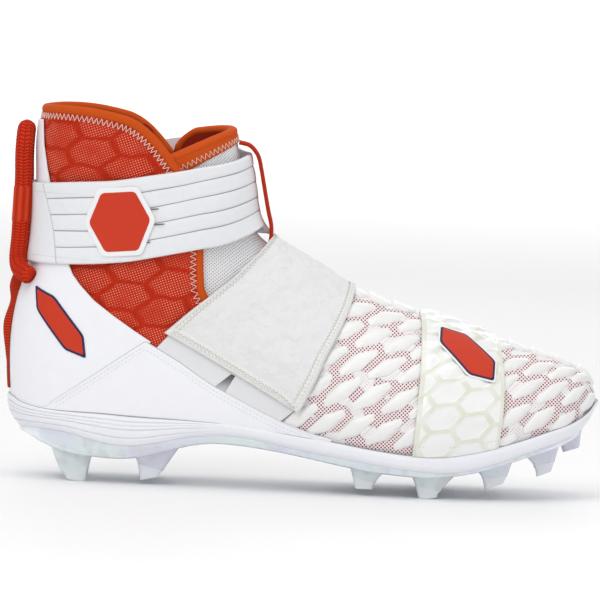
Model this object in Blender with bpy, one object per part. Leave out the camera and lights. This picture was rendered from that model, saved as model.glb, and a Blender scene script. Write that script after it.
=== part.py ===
"""High-top american football cleat for the right foot, with two straps, a forefoot band and clear studs.

The toe points to +X and the outer side of the foot to -Y. Every form of the upper is read from one last:
a table of sections that fan round from upright at the toe to level at the ankle.
"""

import math

import bmesh
import bpy
import numpy as np

LENGTH = 0.300  # sole, heel to toe
HEIGHT = 0.190  # ground to collar
HALF_BALL = 0.048  # half the width of the upper over the ball of the foot
WALL = 0.0025  # wall of the upper
GAP = 0.0003  # between two pieces
LAID = 0.0007  # from the upper to the pieces laid over it, which bend with it in flat facets
OVERLAY = 0.0010  # thickness of the counter, the side panels and the anchor
STRAP = 0.0021  # thickness of the ankle and midfoot straps
BAND = 0.0012  # thickness of the forefoot band
TONGUE = 0.0045  # thickness of the tongue
INSOLE = 0.0032  # thickness of the insole
HALF_STEPS = 12  # columns of the upper from the crest to the feather line
SOLE_STEPS = 25  # rows of the upper along the sole
SHAFT_STEPS = 9  # rows of the upper from the heel rim to above the collar

COLOURS = {
    "upper_mesh": (0.60, 0.055, 0.015, 0.85, 0.0),
    "synthetic": (0.82, 0.82, 0.85, 0.45, 0.0),
    "strap_fabric": (0.78, 0.78, 0.80, 0.80, 0.0),
    "band_film": (0.80, 0.80, 0.76, 0.30, 0.0),
    "tongue_fabric": (0.75, 0.75, 0.76, 0.90, 0.0),
    "insole_fabric": (0.35, 0.05, 0.02, 0.90, 0.0),
    "foam": (0.85, 0.85, 0.86, 0.60, 0.0),
    "clear_plate": (0.70, 0.76, 0.84, 0.15, 0.0),
    "stud_tip": (0.72, 0.73, 0.76, 0.35, 0.0),
    "webbing": (0.72, 0.10, 0.02, 0.85, 0.0),
}

# Each row is a plane through the crest point and the base point, across the foot.
# Along is a share of LENGTH and up a share of HEIGHT. Half width, mid side and crest side are shares of
# HALF_BALL, side being toward +Y. Wide at is where the section is widest, from base to crest. A roof above
# 0 narrows the section early and one below 0 makes it boxy.
SECTIONS = (
    # name, crest along, crest up, base along, base up, half width, wide at, top roof, low roof, mid, crest side
    ("nose", 0.995, 0.253, 0.995, 0.253, 0.00, 0.50, 0.10, -0.30, 0.25, 0.25),
    ("toe_front", 0.991, 0.297, 0.985, 0.197, 0.29, 0.47, 0.10, -0.40, 0.24, 0.245),
    ("toe_cap", 0.979, 0.326, 0.963, 0.155, 0.51, 0.44, 0.00, -0.50, 0.22, 0.235),
    ("toe_top", 0.958, 0.349, 0.933, 0.126, 0.68, 0.41, 0.00, -0.60, 0.19, 0.22),
    ("toe_back", 0.923, 0.369, 0.890, 0.097, 0.80, 0.38, 0.00, -0.60, 0.13, 0.20),
    ("toe_break", 0.873, 0.390, 0.833, 0.063, 0.905, 0.36, 0.05, -0.60, 0.06, 0.17),
    ("ball_front", 0.815, 0.417, 0.773, 0.040, 0.975, 0.35, 0.10, -0.60, 0.00, 0.15),
    ("ball", 0.752, 0.449, 0.710, 0.032, 1.00, 0.34, 0.15, -0.60, -0.045, 0.135),
    ("ball_back", 0.685, 0.479, 0.640, 0.040, 0.96, 0.33, 0.20, -0.60, -0.085, 0.12),
    ("vamp", 0.623, 0.505, 0.567, 0.053, 0.88, 0.33, 0.25, -0.60, -0.11, 0.105),
    ("waist_front", 0.567, 0.539, 0.490, 0.066, 0.81, 0.33, 0.28, -0.50, -0.115, 0.085),
    ("waist", 0.517, 0.584, 0.410, 0.071, 0.765, 0.34, 0.28, -0.50, -0.09, 0.065),
    ("instep", 0.479, 0.618, 0.330, 0.058, 0.74, 0.36, 0.26, -0.50, -0.055, 0.045),
    ("instep_back", 0.452, 0.643, 0.247, 0.032, 0.73, 0.39, 0.24, -0.50, -0.025, 0.025),
    ("throat", 0.431, 0.666, 0.153, 0.000, 0.725, 0.42, 0.20, -0.50, -0.01, 0.01),
    ("heel_floor", 0.416, 0.691, 0.073, 0.010, 0.725, 0.45, 0.15, -0.60, 0.0, 0.0),
    ("heel_round", 0.407, 0.721, 0.027, 0.095, 0.725, 0.47, 0.10, -0.60, 0.0, 0.0),
    ("heel_rim", 0.402, 0.751, 0.012, 0.200, 0.72, 0.48, 0.05, -0.60, 0.0, 0.0),
    ("heel_bulge", 0.399, 0.782, 0.006, 0.300, 0.715, 0.48, 0.00, -0.55, 0.0, 0.0),
    ("heel_back", 0.396, 0.812, 0.006, 0.389, 0.71, 0.48, -0.05, -0.50, 0.0, 0.0),
    ("heel_top", 0.392, 0.842, 0.014, 0.476, 0.70, 0.47, -0.10, -0.45, 0.0, 0.0),
    ("tendon_low", 0.388, 0.873, 0.029, 0.560, 0.69, 0.46, -0.12, -0.40, 0.0, 0.0),
    ("tendon", 0.384, 0.902, 0.039, 0.645, 0.69, 0.46, -0.15, -0.35, 0.0, 0.0),
    ("tendon_top", 0.380, 0.932, 0.041, 0.729, 0.70, 0.46, -0.15, -0.30, 0.0, 0.0),
    ("cuff_low", 0.375, 0.961, 0.039, 0.811, 0.72, 0.46, -0.15, -0.30, 0.0, 0.0),
    ("cuff", 0.369, 0.990, 0.037, 0.892, 0.735, 0.46, -0.15, -0.30, 0.0, 0.0),
    ("cuff_top", 0.362, 1.020, 0.040, 0.971, 0.75, 0.46, -0.15, -0.30, 0.0, 0.0),
    ("above_cuff", 0.355, 1.053, 0.047, 1.047, 0.76, 0.46, -0.15, -0.30, 0.0, 0.0),
)

# Lines of the side view. Along is a share of LENGTH and up a share of HEIGHT.
RIM = (  # top of the midsole
    # along, up
    (-0.03, 0.235), (0.008, 0.221), (0.022, 0.209), (0.040, 0.201), (0.067, 0.195), (0.107, 0.192),
    (0.160, 0.191), (0.210, 0.187), (0.310, 0.182), (0.363, 0.178), (0.413, 0.170), (0.480, 0.158),
    (0.550, 0.143), (0.617, 0.127), (0.687, 0.116), (0.720, 0.115), (0.753, 0.119), (0.787, 0.129),
    (0.853, 0.155), (0.920, 0.190), (0.953, 0.208), (0.970, 0.222), (0.987, 0.243), (0.995, 0.259),
    (1.03, 0.330),
)
FOAM = (  # underside of the midsole
    # along, up
    (-0.03, 0.137), (0.023, 0.137), (0.040, 0.139), (0.077, 0.139), (0.110, 0.133), (0.143, 0.120),
    (0.177, 0.109), (0.212, 0.106), (0.247, 0.114), (0.280, 0.126), (0.313, 0.137), (0.347, 0.143),
    (0.397, 0.144), (0.430, 0.137), (0.467, 0.126), (0.533, 0.110), (0.600, 0.095), (0.670, 0.081),
    (0.703, 0.077), (0.737, 0.075), (0.770, 0.080), (0.805, 0.092), (0.838, 0.109), (0.905, 0.146),
    (0.938, 0.164), (0.972, 0.184), (0.987, 0.205), (0.998, 0.237), (1.03, 0.295),
)
PLATE = (  # underside of the plate, between the studs
    # along, up
    (-0.03, 0.120), (0.033, 0.116), (0.060, 0.100), (0.093, 0.082), (0.145, 0.070), (0.220, 0.070),
    (0.280, 0.095), (0.313, 0.109), (0.347, 0.118), (0.380, 0.118), (0.449, 0.108), (0.500, 0.096),
    (0.567, 0.078), (0.617, 0.066), (0.670, 0.059), (0.713, 0.057), (0.753, 0.062), (0.797, 0.075),
    (0.850, 0.100), (0.900, 0.126), (0.937, 0.144), (0.957, 0.159), (0.973, 0.176), (0.990, 0.205),
    (1.03, 0.270),
)
COLLAR = (  # edge of the collar, from behind the heel forward and down, then the throat under the strap
    # along, up
    (-0.06, 0.978), (-0.02, 0.982), (0.035, 0.987), (0.069, 0.990), (0.103, 0.989), (0.137, 0.984),
    (0.162, 0.977), (0.188, 0.968), (0.205, 0.955), (0.222, 0.936), (0.240, 0.908), (0.258, 0.874),
    (0.279, 0.829), (0.294, 0.787), (0.307, 0.727), (0.315, 0.674), (0.319, 0.629), (0.320, 0.578),
    (0.323, 0.525), (0.337, 0.482), (0.367, 0.453), (0.407, 0.450), (0.453, 0.474), (0.500, 0.521),
    (0.545, 0.600), (0.58, 0.70),
)
COUNTER_FRONT = (  # front edge of the heel counter, from the sole up to the collar
    # along, up
    (0.064, 0.207), (0.141, 0.287), (0.222, 0.375), (0.206, 0.414), (0.177, 0.447), (0.143, 0.486),
    (0.119, 0.525), (0.106, 0.552), (0.093, 0.600), (0.079, 0.690), (0.065, 0.770), (0.056, 0.830),
    (0.049, 0.890), (0.046, 0.955),
)
PANEL_TOP = (  # top edges of the side panel, from its rear tip over the apex to its front tip
    # along, up
    (0.072, 0.200), (0.110, 0.241), (0.150, 0.284), (0.190, 0.328), (0.231, 0.373), (0.269, 0.346),
    (0.310, 0.318), (0.367, 0.265), (0.410, 0.228), (0.450, 0.197), (0.500, 0.171), (0.552, 0.147),
)
ANCHOR_LOW = ((0.245, 0.372), (0.313, 0.324), (0.370, 0.272), (0.413, 0.236), (0.462, 0.203))
ANCHOR_HIGH = ((0.276, 0.412), (0.330, 0.372), (0.390, 0.318), (0.445, 0.266), (0.492, 0.226))
STRAP_REAR = (  # rear edge of the midfoot strap on the outer side
    # along, up
    (0.262, 0.408), (0.307, 0.471), (0.336, 0.508), (0.369, 0.550), (0.400, 0.601), (0.427, 0.647),
    (0.445, 0.690),
)
STRAP_FRONT = (  # its front edge: up, along
    # up, along
    (0.19, 0.487), (0.254, 0.509), (0.295, 0.521), (0.344, 0.533), (0.404, 0.551), (0.434, 0.560),
    (0.469, 0.569), (0.511, 0.577), (0.56, 0.580),
)
STRAP_REAR_INNER = ((0.15, 0.345), (0.25, 0.355), (0.40, 0.375), (0.52, 0.395), (0.62, 0.420), (0.72, 0.440))
STRAP_FRONT_INNER = ((0.12, 0.525), (0.25, 0.545), (0.40, 0.565), (0.50, 0.576), (0.56, 0.580))
BAND_REAR = (  # edges of the forefoot band: up, along
    # up, along
    (0.08, 0.685), (0.113, 0.687), (0.180, 0.690), (0.261, 0.693), (0.341, 0.695), (0.408, 0.695),
    (0.461, 0.693), (0.488, 0.688), (0.52, 0.680),
)
BAND_FRONT = (
    # up, along
    (0.10, 0.829), (0.146, 0.830), (0.216, 0.835), (0.283, 0.837), (0.344, 0.835), (0.382, 0.830),
    (0.408, 0.824), (0.44, 0.812),
)
ANKLE_TOP = (  # edges of the ankle strap on the outer side
    # along, up
    (0.00, 0.782), (0.032, 0.786), (0.106, 0.798), (0.175, 0.808), (0.226, 0.823), (0.277, 0.837),
    (0.310, 0.848), (0.343, 0.858), (0.368, 0.868), (0.385, 0.880), (0.42, 0.905),
)
ANKLE_LOW = (
    # along, up
    (0.00, 0.571), (0.048, 0.572), (0.113, 0.578), (0.163, 0.585), (0.198, 0.592), (0.232, 0.603),
    (0.265, 0.614), (0.316, 0.631), (0.349, 0.641), (0.383, 0.660), (0.408, 0.680), (0.44, 0.71),
)
ANKLE_TOP_INNER = ((0.00, 0.782), (0.04, 0.790), (0.12, 0.838), (0.20, 0.885), (0.28, 0.915),
                   (0.34, 0.916), (0.385, 0.890), (0.42, 0.880))
ANKLE_LOW_INNER = ((0.00, 0.571), (0.04, 0.575), (0.12, 0.615), (0.20, 0.660), (0.28, 0.695),
                   (0.34, 0.700), (0.395, 0.690), (0.44, 0.690))

# Rings of the midsole wall. Height is the share from FOAM up to RIM; the others are mm outward from the
# feather line. Groove rings go in by GROOVE over the heel half only.
MIDSOLE_RINGS = (
    # height, side, heel end, toe end, groove
    (1.00, 1.2, 1.6, 1.0, 0),
    (0.94, 2.2, 2.8, 1.8, 0),
    (0.84, 2.8, 3.2, 2.0, 0),
    (0.76, 2.9, 3.1, 1.6, 1),
    (0.68, 3.0, 3.0, 1.2, 0),
    (0.57, 3.0, 2.4, 0.6, 0),
    (0.49, 2.9, 2.0, 0.0, 1),
    (0.41, 2.8, 1.4, -0.8, 0),
    (0.30, 2.6, 0.4, -1.8, 0),
    (0.22, 2.3, -0.6, -2.6, 1),
    (0.14, 2.0, -1.6, -3.6, 0),
    (0.00, 1.0, -4.0, -5.5, 0),
)
PLATE_RINGS = (
    # height from PLATE up to FOAM, side, heel end, toe end
    (1.00, 0.6, -4.4, -5.8),
    (0.45, 0.9, -4.4, -5.8),
    (0.15, 0.2, -5.4, -6.6),
    (0.00, -2.0, -8.0, -9.0),
)
GROOVE = 0.0009  # depth of the midsole grooves
SHORT_STUD = 0.003  # a stud under this height has no tip of its own

# Studs, each made on both sides. Along and up as above; side is the share of the way from the middle of
# the sole to its edge, and across is the thickness of the tip in mm.
STUDS = (
    # name, base rear, base front, tip rear, tip front, tip up, side, across
    ("heel_rear", 0.090, 0.150, 0.108, 0.140, 0.000, 0.66, 6.5),
    ("heel_front", 0.222, 0.282, 0.232, 0.262, 0.014, 0.72, 6.5),
    ("arch_front", 0.585, 0.633, 0.594, 0.624, 0.018, 0.76, 6.5),
    ("ball", 0.688, 0.750, 0.702, 0.735, 0.000, 0.78, 7.5),
    ("ball_front", 0.800, 0.856, 0.812, 0.844, 0.036, 0.77, 6.5),
    ("toe_back", 0.884, 0.934, 0.896, 0.926, 0.072, 0.70, 6.0),
    ("toe", 0.936, 0.975, 0.944, 0.969, 0.141, 0.32, 5.5),
)

HEEL_LOOP = (  # middle of the cord of the pull loop, mirrored to the other side. Side is a share of HALF_BALL
    # along, side, up
    (0.0300, -0.500, 0.542), (0.0157, -0.379, 0.556), (0.0087, -0.260, 0.584), (0.0077, -0.192, 0.637),
    (0.0073, -0.162, 0.711), (0.0067, -0.154, 0.789), (0.0070, -0.146, 0.858), (0.0087, -0.112, 0.903),
    (0.0100, 0.000, 0.926),
)
HEEL_WEBBING = (  # outer face of the folded webbing down the heel
    # along, up
    (0.0120, 0.563), (0.0020, 0.537), (-0.0033, 0.505), (-0.0013, 0.466), (-0.0113, 0.403), (-0.0063, 0.332),
    (0.0000, 0.274), (0.0053, 0.234),
)
TONGUE_PULL = (  # middle of the pull at the front of the tongue
    # along, up
    (0.3740, 0.914), (0.3910, 0.908), (0.4013, 0.894), (0.4087, 0.875), (0.4140, 0.842), (0.4210, 0.789),
    (0.4280, 0.737), (0.4347, 0.698),
)


def smooth(knots, values, at):
    """Values between the rows of a table, along one smooth curve."""
    knots = np.asarray(knots, float)
    values = np.asarray(values, float)
    at = np.clip(np.asarray(at, float), knots[0], knots[-1])
    slopes = np.gradient(values, knots, axis=0)
    left = np.clip(np.searchsorted(knots, at, side="right") - 1, 0, len(knots) - 2)
    span = knots[left + 1] - knots[left]
    t = (at - knots[left]) / span
    if values.ndim > 1:
        span = span[..., None]
        t = t[..., None]
    first, second = values[left], values[left + 1]
    rise = (1 + 2 * t) * (1 - t) ** 2 * first + t * t * (3 - 2 * t) * second
    return rise + span * (t * (1 - t) ** 2 * slopes[left] - t * t * (1 - t) * slopes[left + 1])


def line(table, at, knot_size=LENGTH, value_size=HEIGHT):
    """A line of the side view, read at these metres."""
    table = np.array(table)
    return value_size * smooth(table[:, 0] * knot_size, table[:, 1], at)


def steep(table, up):
    """A line whose rows are up and along: the metres along at these metres up."""
    return line(table, up, HEIGHT, LENGTH)


def along_path(table, steps):
    """Points evenly spaced along a line of the side view, in metres."""
    points = np.array(table) * (LENGTH, HEIGHT)
    gone = np.concatenate([[0], np.cumsum(np.linalg.norm(np.diff(points, axis=0), axis=1))])
    at = np.linspace(0, gone[-1], steps)
    return np.stack([np.interp(at, gone, points[:, 0]), np.interp(at, gone, points[:, 1])], -1)


def root(value, low, high):
    """Where value turns from below zero to above it, between low and high."""
    for _ in range(36):
        middle = (low + high) / 2
        under = value(middle) < 0
        low = np.where(under, middle, low)
        high = np.where(under, high, middle)
    return (low + high) / 2


SHAPE = np.array([row[1:] for row in SECTIONS])
SHAPE = SHAPE * ([LENGTH, HEIGHT] * 2 + [HALF_BALL, 1, 1, 1, HALF_BALL, HALF_BALL])
# A row before the nose mirrors the one after it, so that the toe closes round.
BEFORE = SHAPE[1][[2, 3, 0, 1, 4, 5, 6, 7, 8, 9]] * (1, 1, 1, 1, -1, 1, 1, 1, 1, 1)
SHAPE = np.vstack([BEFORE, SHAPE])
KNOTS = np.arange(-1, len(SECTIONS))
LAST_ROW = len(SECTIONS) - 1


def ends(row):
    """Crest point and base point of the section, along and up."""
    shape = smooth(KNOTS, SHAPE, row)
    return shape[..., 0:2], shape[..., 2:4]


def bare(row, turn):
    """Point of the last. Turn is 0 on the crest, below 0 on the outer side, and pi either way at the base."""
    shape = smooth(KNOTS, SHAPE, row)
    half, wide, top_roof, low_roof, mid, crest = np.moveaxis(shape[..., 4:], -1, 0)
    c = np.cos(turn)
    share = wide + np.where(c > 0, 1 - wide, wide) * c
    roof = np.where(c > 0, top_roof, low_roof)
    middle = mid + (crest - mid) * np.where(c > 0, c * c, 0)
    side = middle + half * np.sin(turn) * np.sqrt(1 - roof * c * c)
    along = shape[..., 2] + (shape[..., 0] - shape[..., 2]) * share
    up = shape[..., 3] + (shape[..., 1] - shape[..., 3]) * share
    return np.stack([along, side, up], -1)


def last(row, turn, out=0.0):
    """Point at this distance outside the last."""
    row, turn = np.broadcast_arrays(np.asarray(row, float), np.asarray(turn, float))
    step = 1e-3
    over = bare(row, turn + step) - bare(row, turn - step)
    back = bare(row + step, turn) - bare(row - step, turn)
    normal = np.cross(over, back)
    normal /= np.linalg.norm(normal, axis=-1, keepdims=True) + 1e-12
    return bare(row, turn) + normal * np.asarray(out)[..., None]


def above_rim(point):
    return point[..., 2] - line(RIM, point[..., 0])


def rim_turn(row):
    """The turn at which the section meets the midsole, or pi where all of it is above."""
    row = np.asarray(row, float)
    low = np.zeros_like(row)
    return root(lambda turn: -above_rim(bare(row, turn)), low, low + math.pi)


NOSE_ROW = float(root(lambda row: above_rim(bare(row, 0.0)), np.array(0.0), np.array(1.5)))
RIM_ROW = float(root(lambda row: above_rim(bare(row, math.pi)), np.array(15.0), np.array(18.5)))


def find(points):
    """Row and turn, on the outer side, of these points of the side view."""
    along, up = points[..., 0], points[..., 1]

    def behind(row):
        crest, base = ends(row)
        axis = crest - base
        return axis[..., 1] * (along - base[..., 0]) - axis[..., 0] * (up - base[..., 1])

    row = root(behind, np.zeros_like(along), np.full_like(along, LAST_ROW))
    shape = smooth(KNOTS, SHAPE, row)
    axis = shape[..., 0:2] - shape[..., 2:4]
    share = ((points - shape[..., 2:4]) * axis).sum(-1) / (axis**2).sum(-1)
    wide = shape[..., 5]
    c = (share - wide) / np.where(share > wide, 1 - wide, wide)
    return np.stack([row, -np.arccos(np.clip(c, -1, 1))], -1)


def coons(south, north, west, east, fade=1):
    """A grid of points between four borders: south and north run from west to east. A higher fade keeps the
    bends of west and east near them."""
    s = np.linspace(0, 1, len(south))[None, :, None]
    t = np.linspace(0, 1, len(west))[:, None, None]
    west_bend = west[:, None] - (1 - t) * west[0] - t * west[-1]
    east_bend = east[:, None] - (1 - t) * east[0] - t * east[-1]
    return (1 - t) * south[None] + t * north[None] + (1 - s) ** fade * west_bend + s**fade * east_bend


for old in list(bpy.data.objects):
    bpy.data.objects.remove(old)
SHOE = bpy.data.collections.new("football_cleat")
CUTTERS = bpy.data.collections.new("cutters")
CUTTERS.hide_render = True
bpy.context.scene.collection.children.link(SHOE)
bpy.context.scene.collection.children.link(CUTTERS)
LOOKS = {}
for slot, (red, green, blue, rough, metal) in COLOURS.items():
    look = bpy.data.materials.new(slot)
    look.use_nodes = True
    shader = look.node_tree.nodes["Principled BSDF"]
    shader.inputs["Base Color"].default_value = (red, green, blue, 1)
    shader.inputs["Roughness"].default_value = rough
    shader.inputs["Metallic"].default_value = metal
    look.diffuse_color = (red, green, blue, 1)
    LOOKS[slot] = look


def solid(name, points, faces, slot):
    """A closed mesh from points and faces, linked as a node, or as a cutter where it has no slot."""
    mesh = bpy.data.meshes.new(name)
    mesh.from_pydata([tuple(map(float, p)) for p in points], [], [tuple(map(int, f)) for f in faces])
    work = bmesh.new()
    work.from_mesh(mesh)
    bmesh.ops.remove_doubles(work, verts=work.verts, dist=1e-6)
    bmesh.ops.dissolve_degenerate(work, edges=work.edges, dist=1e-6)
    bmesh.ops.recalc_face_normals(work, faces=work.faces)
    if work.calc_volume(signed=True) < 0:
        bmesh.ops.reverse_faces(work, faces=work.faces)
    work.to_mesh(mesh)
    work.free()
    piece = bpy.data.objects.new(name, mesh)
    if slot is None:
        CUTTERS.objects.link(piece)
        piece.hide_render = True
        piece.display_type = "WIRE"
    else:
        SHOE.objects.link(piece)
        mesh.materials.append(LOOKS[slot])
    return piece


def skin(name, outer, inner, slot, ring=False, shut=None):
    """A solid between two grids of points. Ring joins the last column to the first; shut lists the rows whose
    first and last column meet, so that they have no side wall."""
    rows, cols = outer.shape[:2]
    number = np.arange(rows * cols).reshape(rows, cols)
    points = np.concatenate([outer.reshape(-1, 3), inner.reshape(-1, 3)])
    deep = number + rows * cols
    faces = []
    width = cols if ring else cols - 1
    for i in range(rows - 1):
        for j in range(width):
            k = (j + 1) % cols
            faces.append((number[i, j], number[i, k], number[i + 1, k], number[i + 1, j]))
            faces.append((deep[i, j], deep[i + 1, j], deep[i + 1, k], deep[i, k]))
    for j in range(width):
        k = (j + 1) % cols
        for i, turn in ((0, 1), (rows - 1, -1)):
            faces.append((number[i, j], deep[i, j], deep[i, k], number[i, k])[::turn])
    if not ring:
        for i in range(rows - 1):
            if shut is not None and shut[i] and shut[i + 1]:
                continue
            for j, turn in ((0, -1), (cols - 1, 1)):
                faces.append((number[i, j], deep[i, j], deep[i + 1, j], number[i + 1, j])[::turn])
    return solid(name, points, faces, slot)


def draped(name, where, low, high, slot, ring=False):
    """A skin from low to high outside the last, over a grid of rows and turns."""
    row, turn = where[..., 0], where[..., 1]
    low = np.broadcast_to(low, row.shape)
    high = np.broadcast_to(high, row.shape)
    return skin(name, last(row, turn, high), last(row, turn, low), slot, ring)


def boolean(piece, other, operation):
    cut = piece.modifiers.new(operation.lower(), "BOOLEAN")
    cut.object = other
    cut.operation = operation
    cut.solver = "EXACT"


def prism(name, outline, half):
    """A block across the shoe whose outline is this loop of the side view."""
    outline = np.asarray(outline)
    count = len(outline)
    near = np.column_stack([outline[:, 0], np.full(count, -half), outline[:, 1]])
    far = near * (1, -1, 1)
    faces = [tuple(range(count)), tuple(range(2 * count - 1, count - 1, -1))]
    faces += [(i, i + count, (i + 1) % count + count, (i + 1) % count) for i in range(count)]
    return solid(name, np.concatenate([near, far]), faces, None)


# Rows of the upper along the sole are placed by how far along they meet the midsole.
FINE = np.linspace(NOSE_ROW, RIM_ROW, 600)
FINE_TURN = rim_turn(FINE)
FINE_ALONG = bare(FINE, FINE_TURN)[..., 0]
SPREAD = (1 - np.cos(np.linspace(0, math.pi, SOLE_STEPS))) / 2
STATIONS = FINE_ALONG[0] + (FINE_ALONG[-1] - FINE_ALONG[0]) * SPREAD
SOLE_ROWS = np.interp(-STATIONS, -FINE_ALONG, FINE)
SHAFT_ROWS = np.linspace(RIM_ROW, LAST_ROW, SHAFT_STEPS + 1)[1:]
ROWS = np.concatenate([SOLE_ROWS, SHAFT_ROWS])
RIM_TURNS = np.concatenate([rim_turn(SOLE_ROWS), np.full(SHAFT_STEPS, math.pi)])
RIM_TURNS[0] = 0.0
RIM_TURNS[SOLE_STEPS - 1] = math.pi
ACROSS = np.linspace(-1, 1, 2 * HALF_STEPS + 1)


def build_upper():
    row = np.repeat(ROWS[:, None], len(ACROSS), axis=1)
    turn = RIM_TURNS[:, None] * ACROSS
    outer = last(row, turn)
    inner = last(row, turn, -WALL)
    for grid in (outer, inner):
        for edge in (0, -1):
            foot = grid[:SOLE_STEPS, edge]
            foot[:, 2] = np.maximum(foot[:, 2], line(RIM, foot[:, 0])) + GAP
    outer[0] = outer[0, 0]
    inner[0] = inner[0, 0]
    closed = np.arange(len(ROWS)) >= SOLE_STEPS - 1
    for grid in (outer, inner):
        grid[closed, -1] = grid[closed, 0]
    upper = skin("upper", outer, inner, "upper_mesh", shut=closed)
    edge = along_path(COLLAR, 60)
    far = np.array([(0.83, 1.05), (0.83, 1.60), (-0.27, 1.60), (-0.27, COLLAR[0][1])]) * (LENGTH, HEIGHT)
    boolean(upper, prism("collar_cutter", np.concatenate([edge, far]), 2 * HALF_BALL), "DIFFERENCE")
    return upper


def build_insole():
    rows = SOLE_ROWS[2:-1]
    turns = rim_turn(rows)
    across = np.linspace(-1, 1, 7)
    grids = []
    for lift in (INSOLE, 0.0):
        sheet = []
        for row, turn in zip(rows, turns):
            near = last(row, -turn, -WALL - 0.0022)
            far = last(row, turn, -WALL - 0.0022)
            strip = near + (far - near) * (across[:, None] + 1) / 2
            strip[:, 2] = line(RIM, strip[:, 0]) + 2 * GAP + lift + 0.0012 * across**4 * (lift > 0)
            sheet.append(strip)
        grids.append(np.array(sheet))
    return skin("insole", grids[0], grids[1], "insole_fabric")


def build_tongue():
    spread = np.linspace(-1, 1, 13)
    rows = np.linspace(10.2, 23.7, 12)
    reach = np.interp(rows, (10.2, 11.5, 13.0, 14.5, 24.0), (0.55, 0.85, 1.20, 1.45, 1.35))
    row = rows[:, None] + 0.22 * spread[None] * (rows[:, None] > 20)
    turn = reach[:, None] * spread
    outer = -WALL - 2 * GAP
    thin = np.interp(np.abs(spread), (0.0, 0.7, 1.0), (1.0, 0.9, 0.45))
    outer = np.full(row.shape, outer)
    return draped("tongue", np.stack([row, turn], -1), outer - TONGUE * thin, outer, "tongue_fabric")


def end_weight(along):
    """How much a point belongs to the heel end and to the toe end of the sole."""
    heel = np.clip(1 - along / (0.13 * LENGTH), 0, 1)
    toe = np.clip((along / LENGTH - 0.90) / 0.10, 0, 1)
    return heel**1.5, toe**1.3


def sole_loop():
    """Feather line as a loop from the toe along the outer side to the heel and back, with its outward normals."""
    near = bare(SOLE_ROWS, -RIM_TURNS[:SOLE_STEPS])
    far = bare(SOLE_ROWS, RIM_TURNS[:SOLE_STEPS])
    near[0, 1] = near[-1, 1] = 0
    near[0] = bare(NOSE_ROW, 0.0)
    loop = np.concatenate([near, far[-2:0:-1]])[:, :2]
    run = np.roll(loop, -1, axis=0) - np.roll(loop, 1, axis=0)
    out = np.column_stack([-run[:, 1], run[:, 0]])
    out /= np.linalg.norm(out, axis=1, keepdims=True)
    if (out[SOLE_STEPS // 2, 1] > 0) == (loop[SOLE_STEPS // 2, 1] < 0):
        out = -out
    return loop, out


LOOP, LOOP_OUT = sole_loop()
COUNT = len(LOOP)


def cap(ring, flip):
    """Faces across a loop, between its two sides."""
    faces = []
    for i in range(SOLE_STEPS - 1):
        j = i + 1
        corners = (ring[i], ring[j], ring[(COUNT - j) % COUNT], ring[(COUNT - i) % COUNT])
        faces.append(tuple(dict.fromkeys(corners)))
    return [face[::-1] for face in faces] if flip else faces


def ringed(name, levels, slot):
    """A solid from closed rings, top first, with a cap on each end."""
    points = np.concatenate(levels)
    number = np.arange(len(points)).reshape(len(levels), COUNT)
    faces = []
    for upper, lower in zip(number[:-1], number[1:]):
        for i in range(COUNT):
            j = (i + 1) % COUNT
            faces.append((upper[i], lower[i], lower[j], upper[j]))
    faces += cap(number[0], False) + cap(number[-1], True)
    return solid(name, points, faces, slot)


def ring_at(side, heel, toe, low, high, share, cut=0.0):
    at_heel, at_toe = end_weight(LOOP[:, 0])
    out = 0.001 * (side + (heel - side) * at_heel + (toe - side) * at_toe)
    out = out - cut * np.interp(LOOP[:, 0] / LENGTH, (0.26, 0.34), (1, 0))
    flat = LOOP + LOOP_OUT * out[:, None]
    bottom, top = line(low, flat[:, 0]), line(high, flat[:, 0])
    return np.column_stack([flat, bottom + (top - bottom) * share])


def build_midsole():
    levels = [ring_at(side, heel, toe, FOAM, RIM, share, GROOVE * groove)
              for share, side, heel, toe, groove in MIDSOLE_RINGS]
    return ringed("midsole", levels, "foam")


def half_sole(along):
    """Middle of the sole and half its width, this far along."""
    near = LOOP[:SOLE_STEPS]
    far = np.vstack([LOOP[:1], LOOP[:SOLE_STEPS - 2:-1]])
    outer = np.interp(-along, -near[:, 0], near[:, 1])
    inner = np.interp(-along, -far[:, 0], far[:, 1])
    return (outer + inner) / 2, (inner - outer) / 2


def rounded(rear, front, middle, half, up, corner=0.35):
    """Eight-sided outline of a stud. Up is a height, or a function of how far along a corner is."""
    shape = ((-1, -1 + corner), (-1 + corner, -1), (1 - corner, -1), (1, -1 + corner),
             (1, 1 - corner), (1 - corner, 1), (-1 + corner, 1), (-1, 1 - corner))
    centre, reach = (rear + front) / 2, (front - rear) / 2
    ring = np.array([(centre + reach * x, middle + half * y, 0) for x, y in shape])
    ring[:, 2] = up(ring[:, 0]) if callable(up) else up
    return ring


def lofted(name, rings, slot):
    """A solid from rings of equal counts, bottom first, each end closed by a fan."""
    count = len(rings[0])
    number = np.arange(len(rings) * count).reshape(-1, count)
    points = np.concatenate(list(rings) + [rings[0].mean(axis=0)[None], rings[-1].mean(axis=0)[None]])
    faces = []
    for i in range(count):
        j = (i + 1) % count
        faces.append((number[0, j], number[0, i], len(points) - 2))
        faces.append((number[-1, i], number[-1, j], len(points) - 1))
        faces += [(low[i], low[j], high[j], high[i]) for low, high in zip(number[:-1], number[1:])]
    return solid(name, points, faces, slot)


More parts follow.
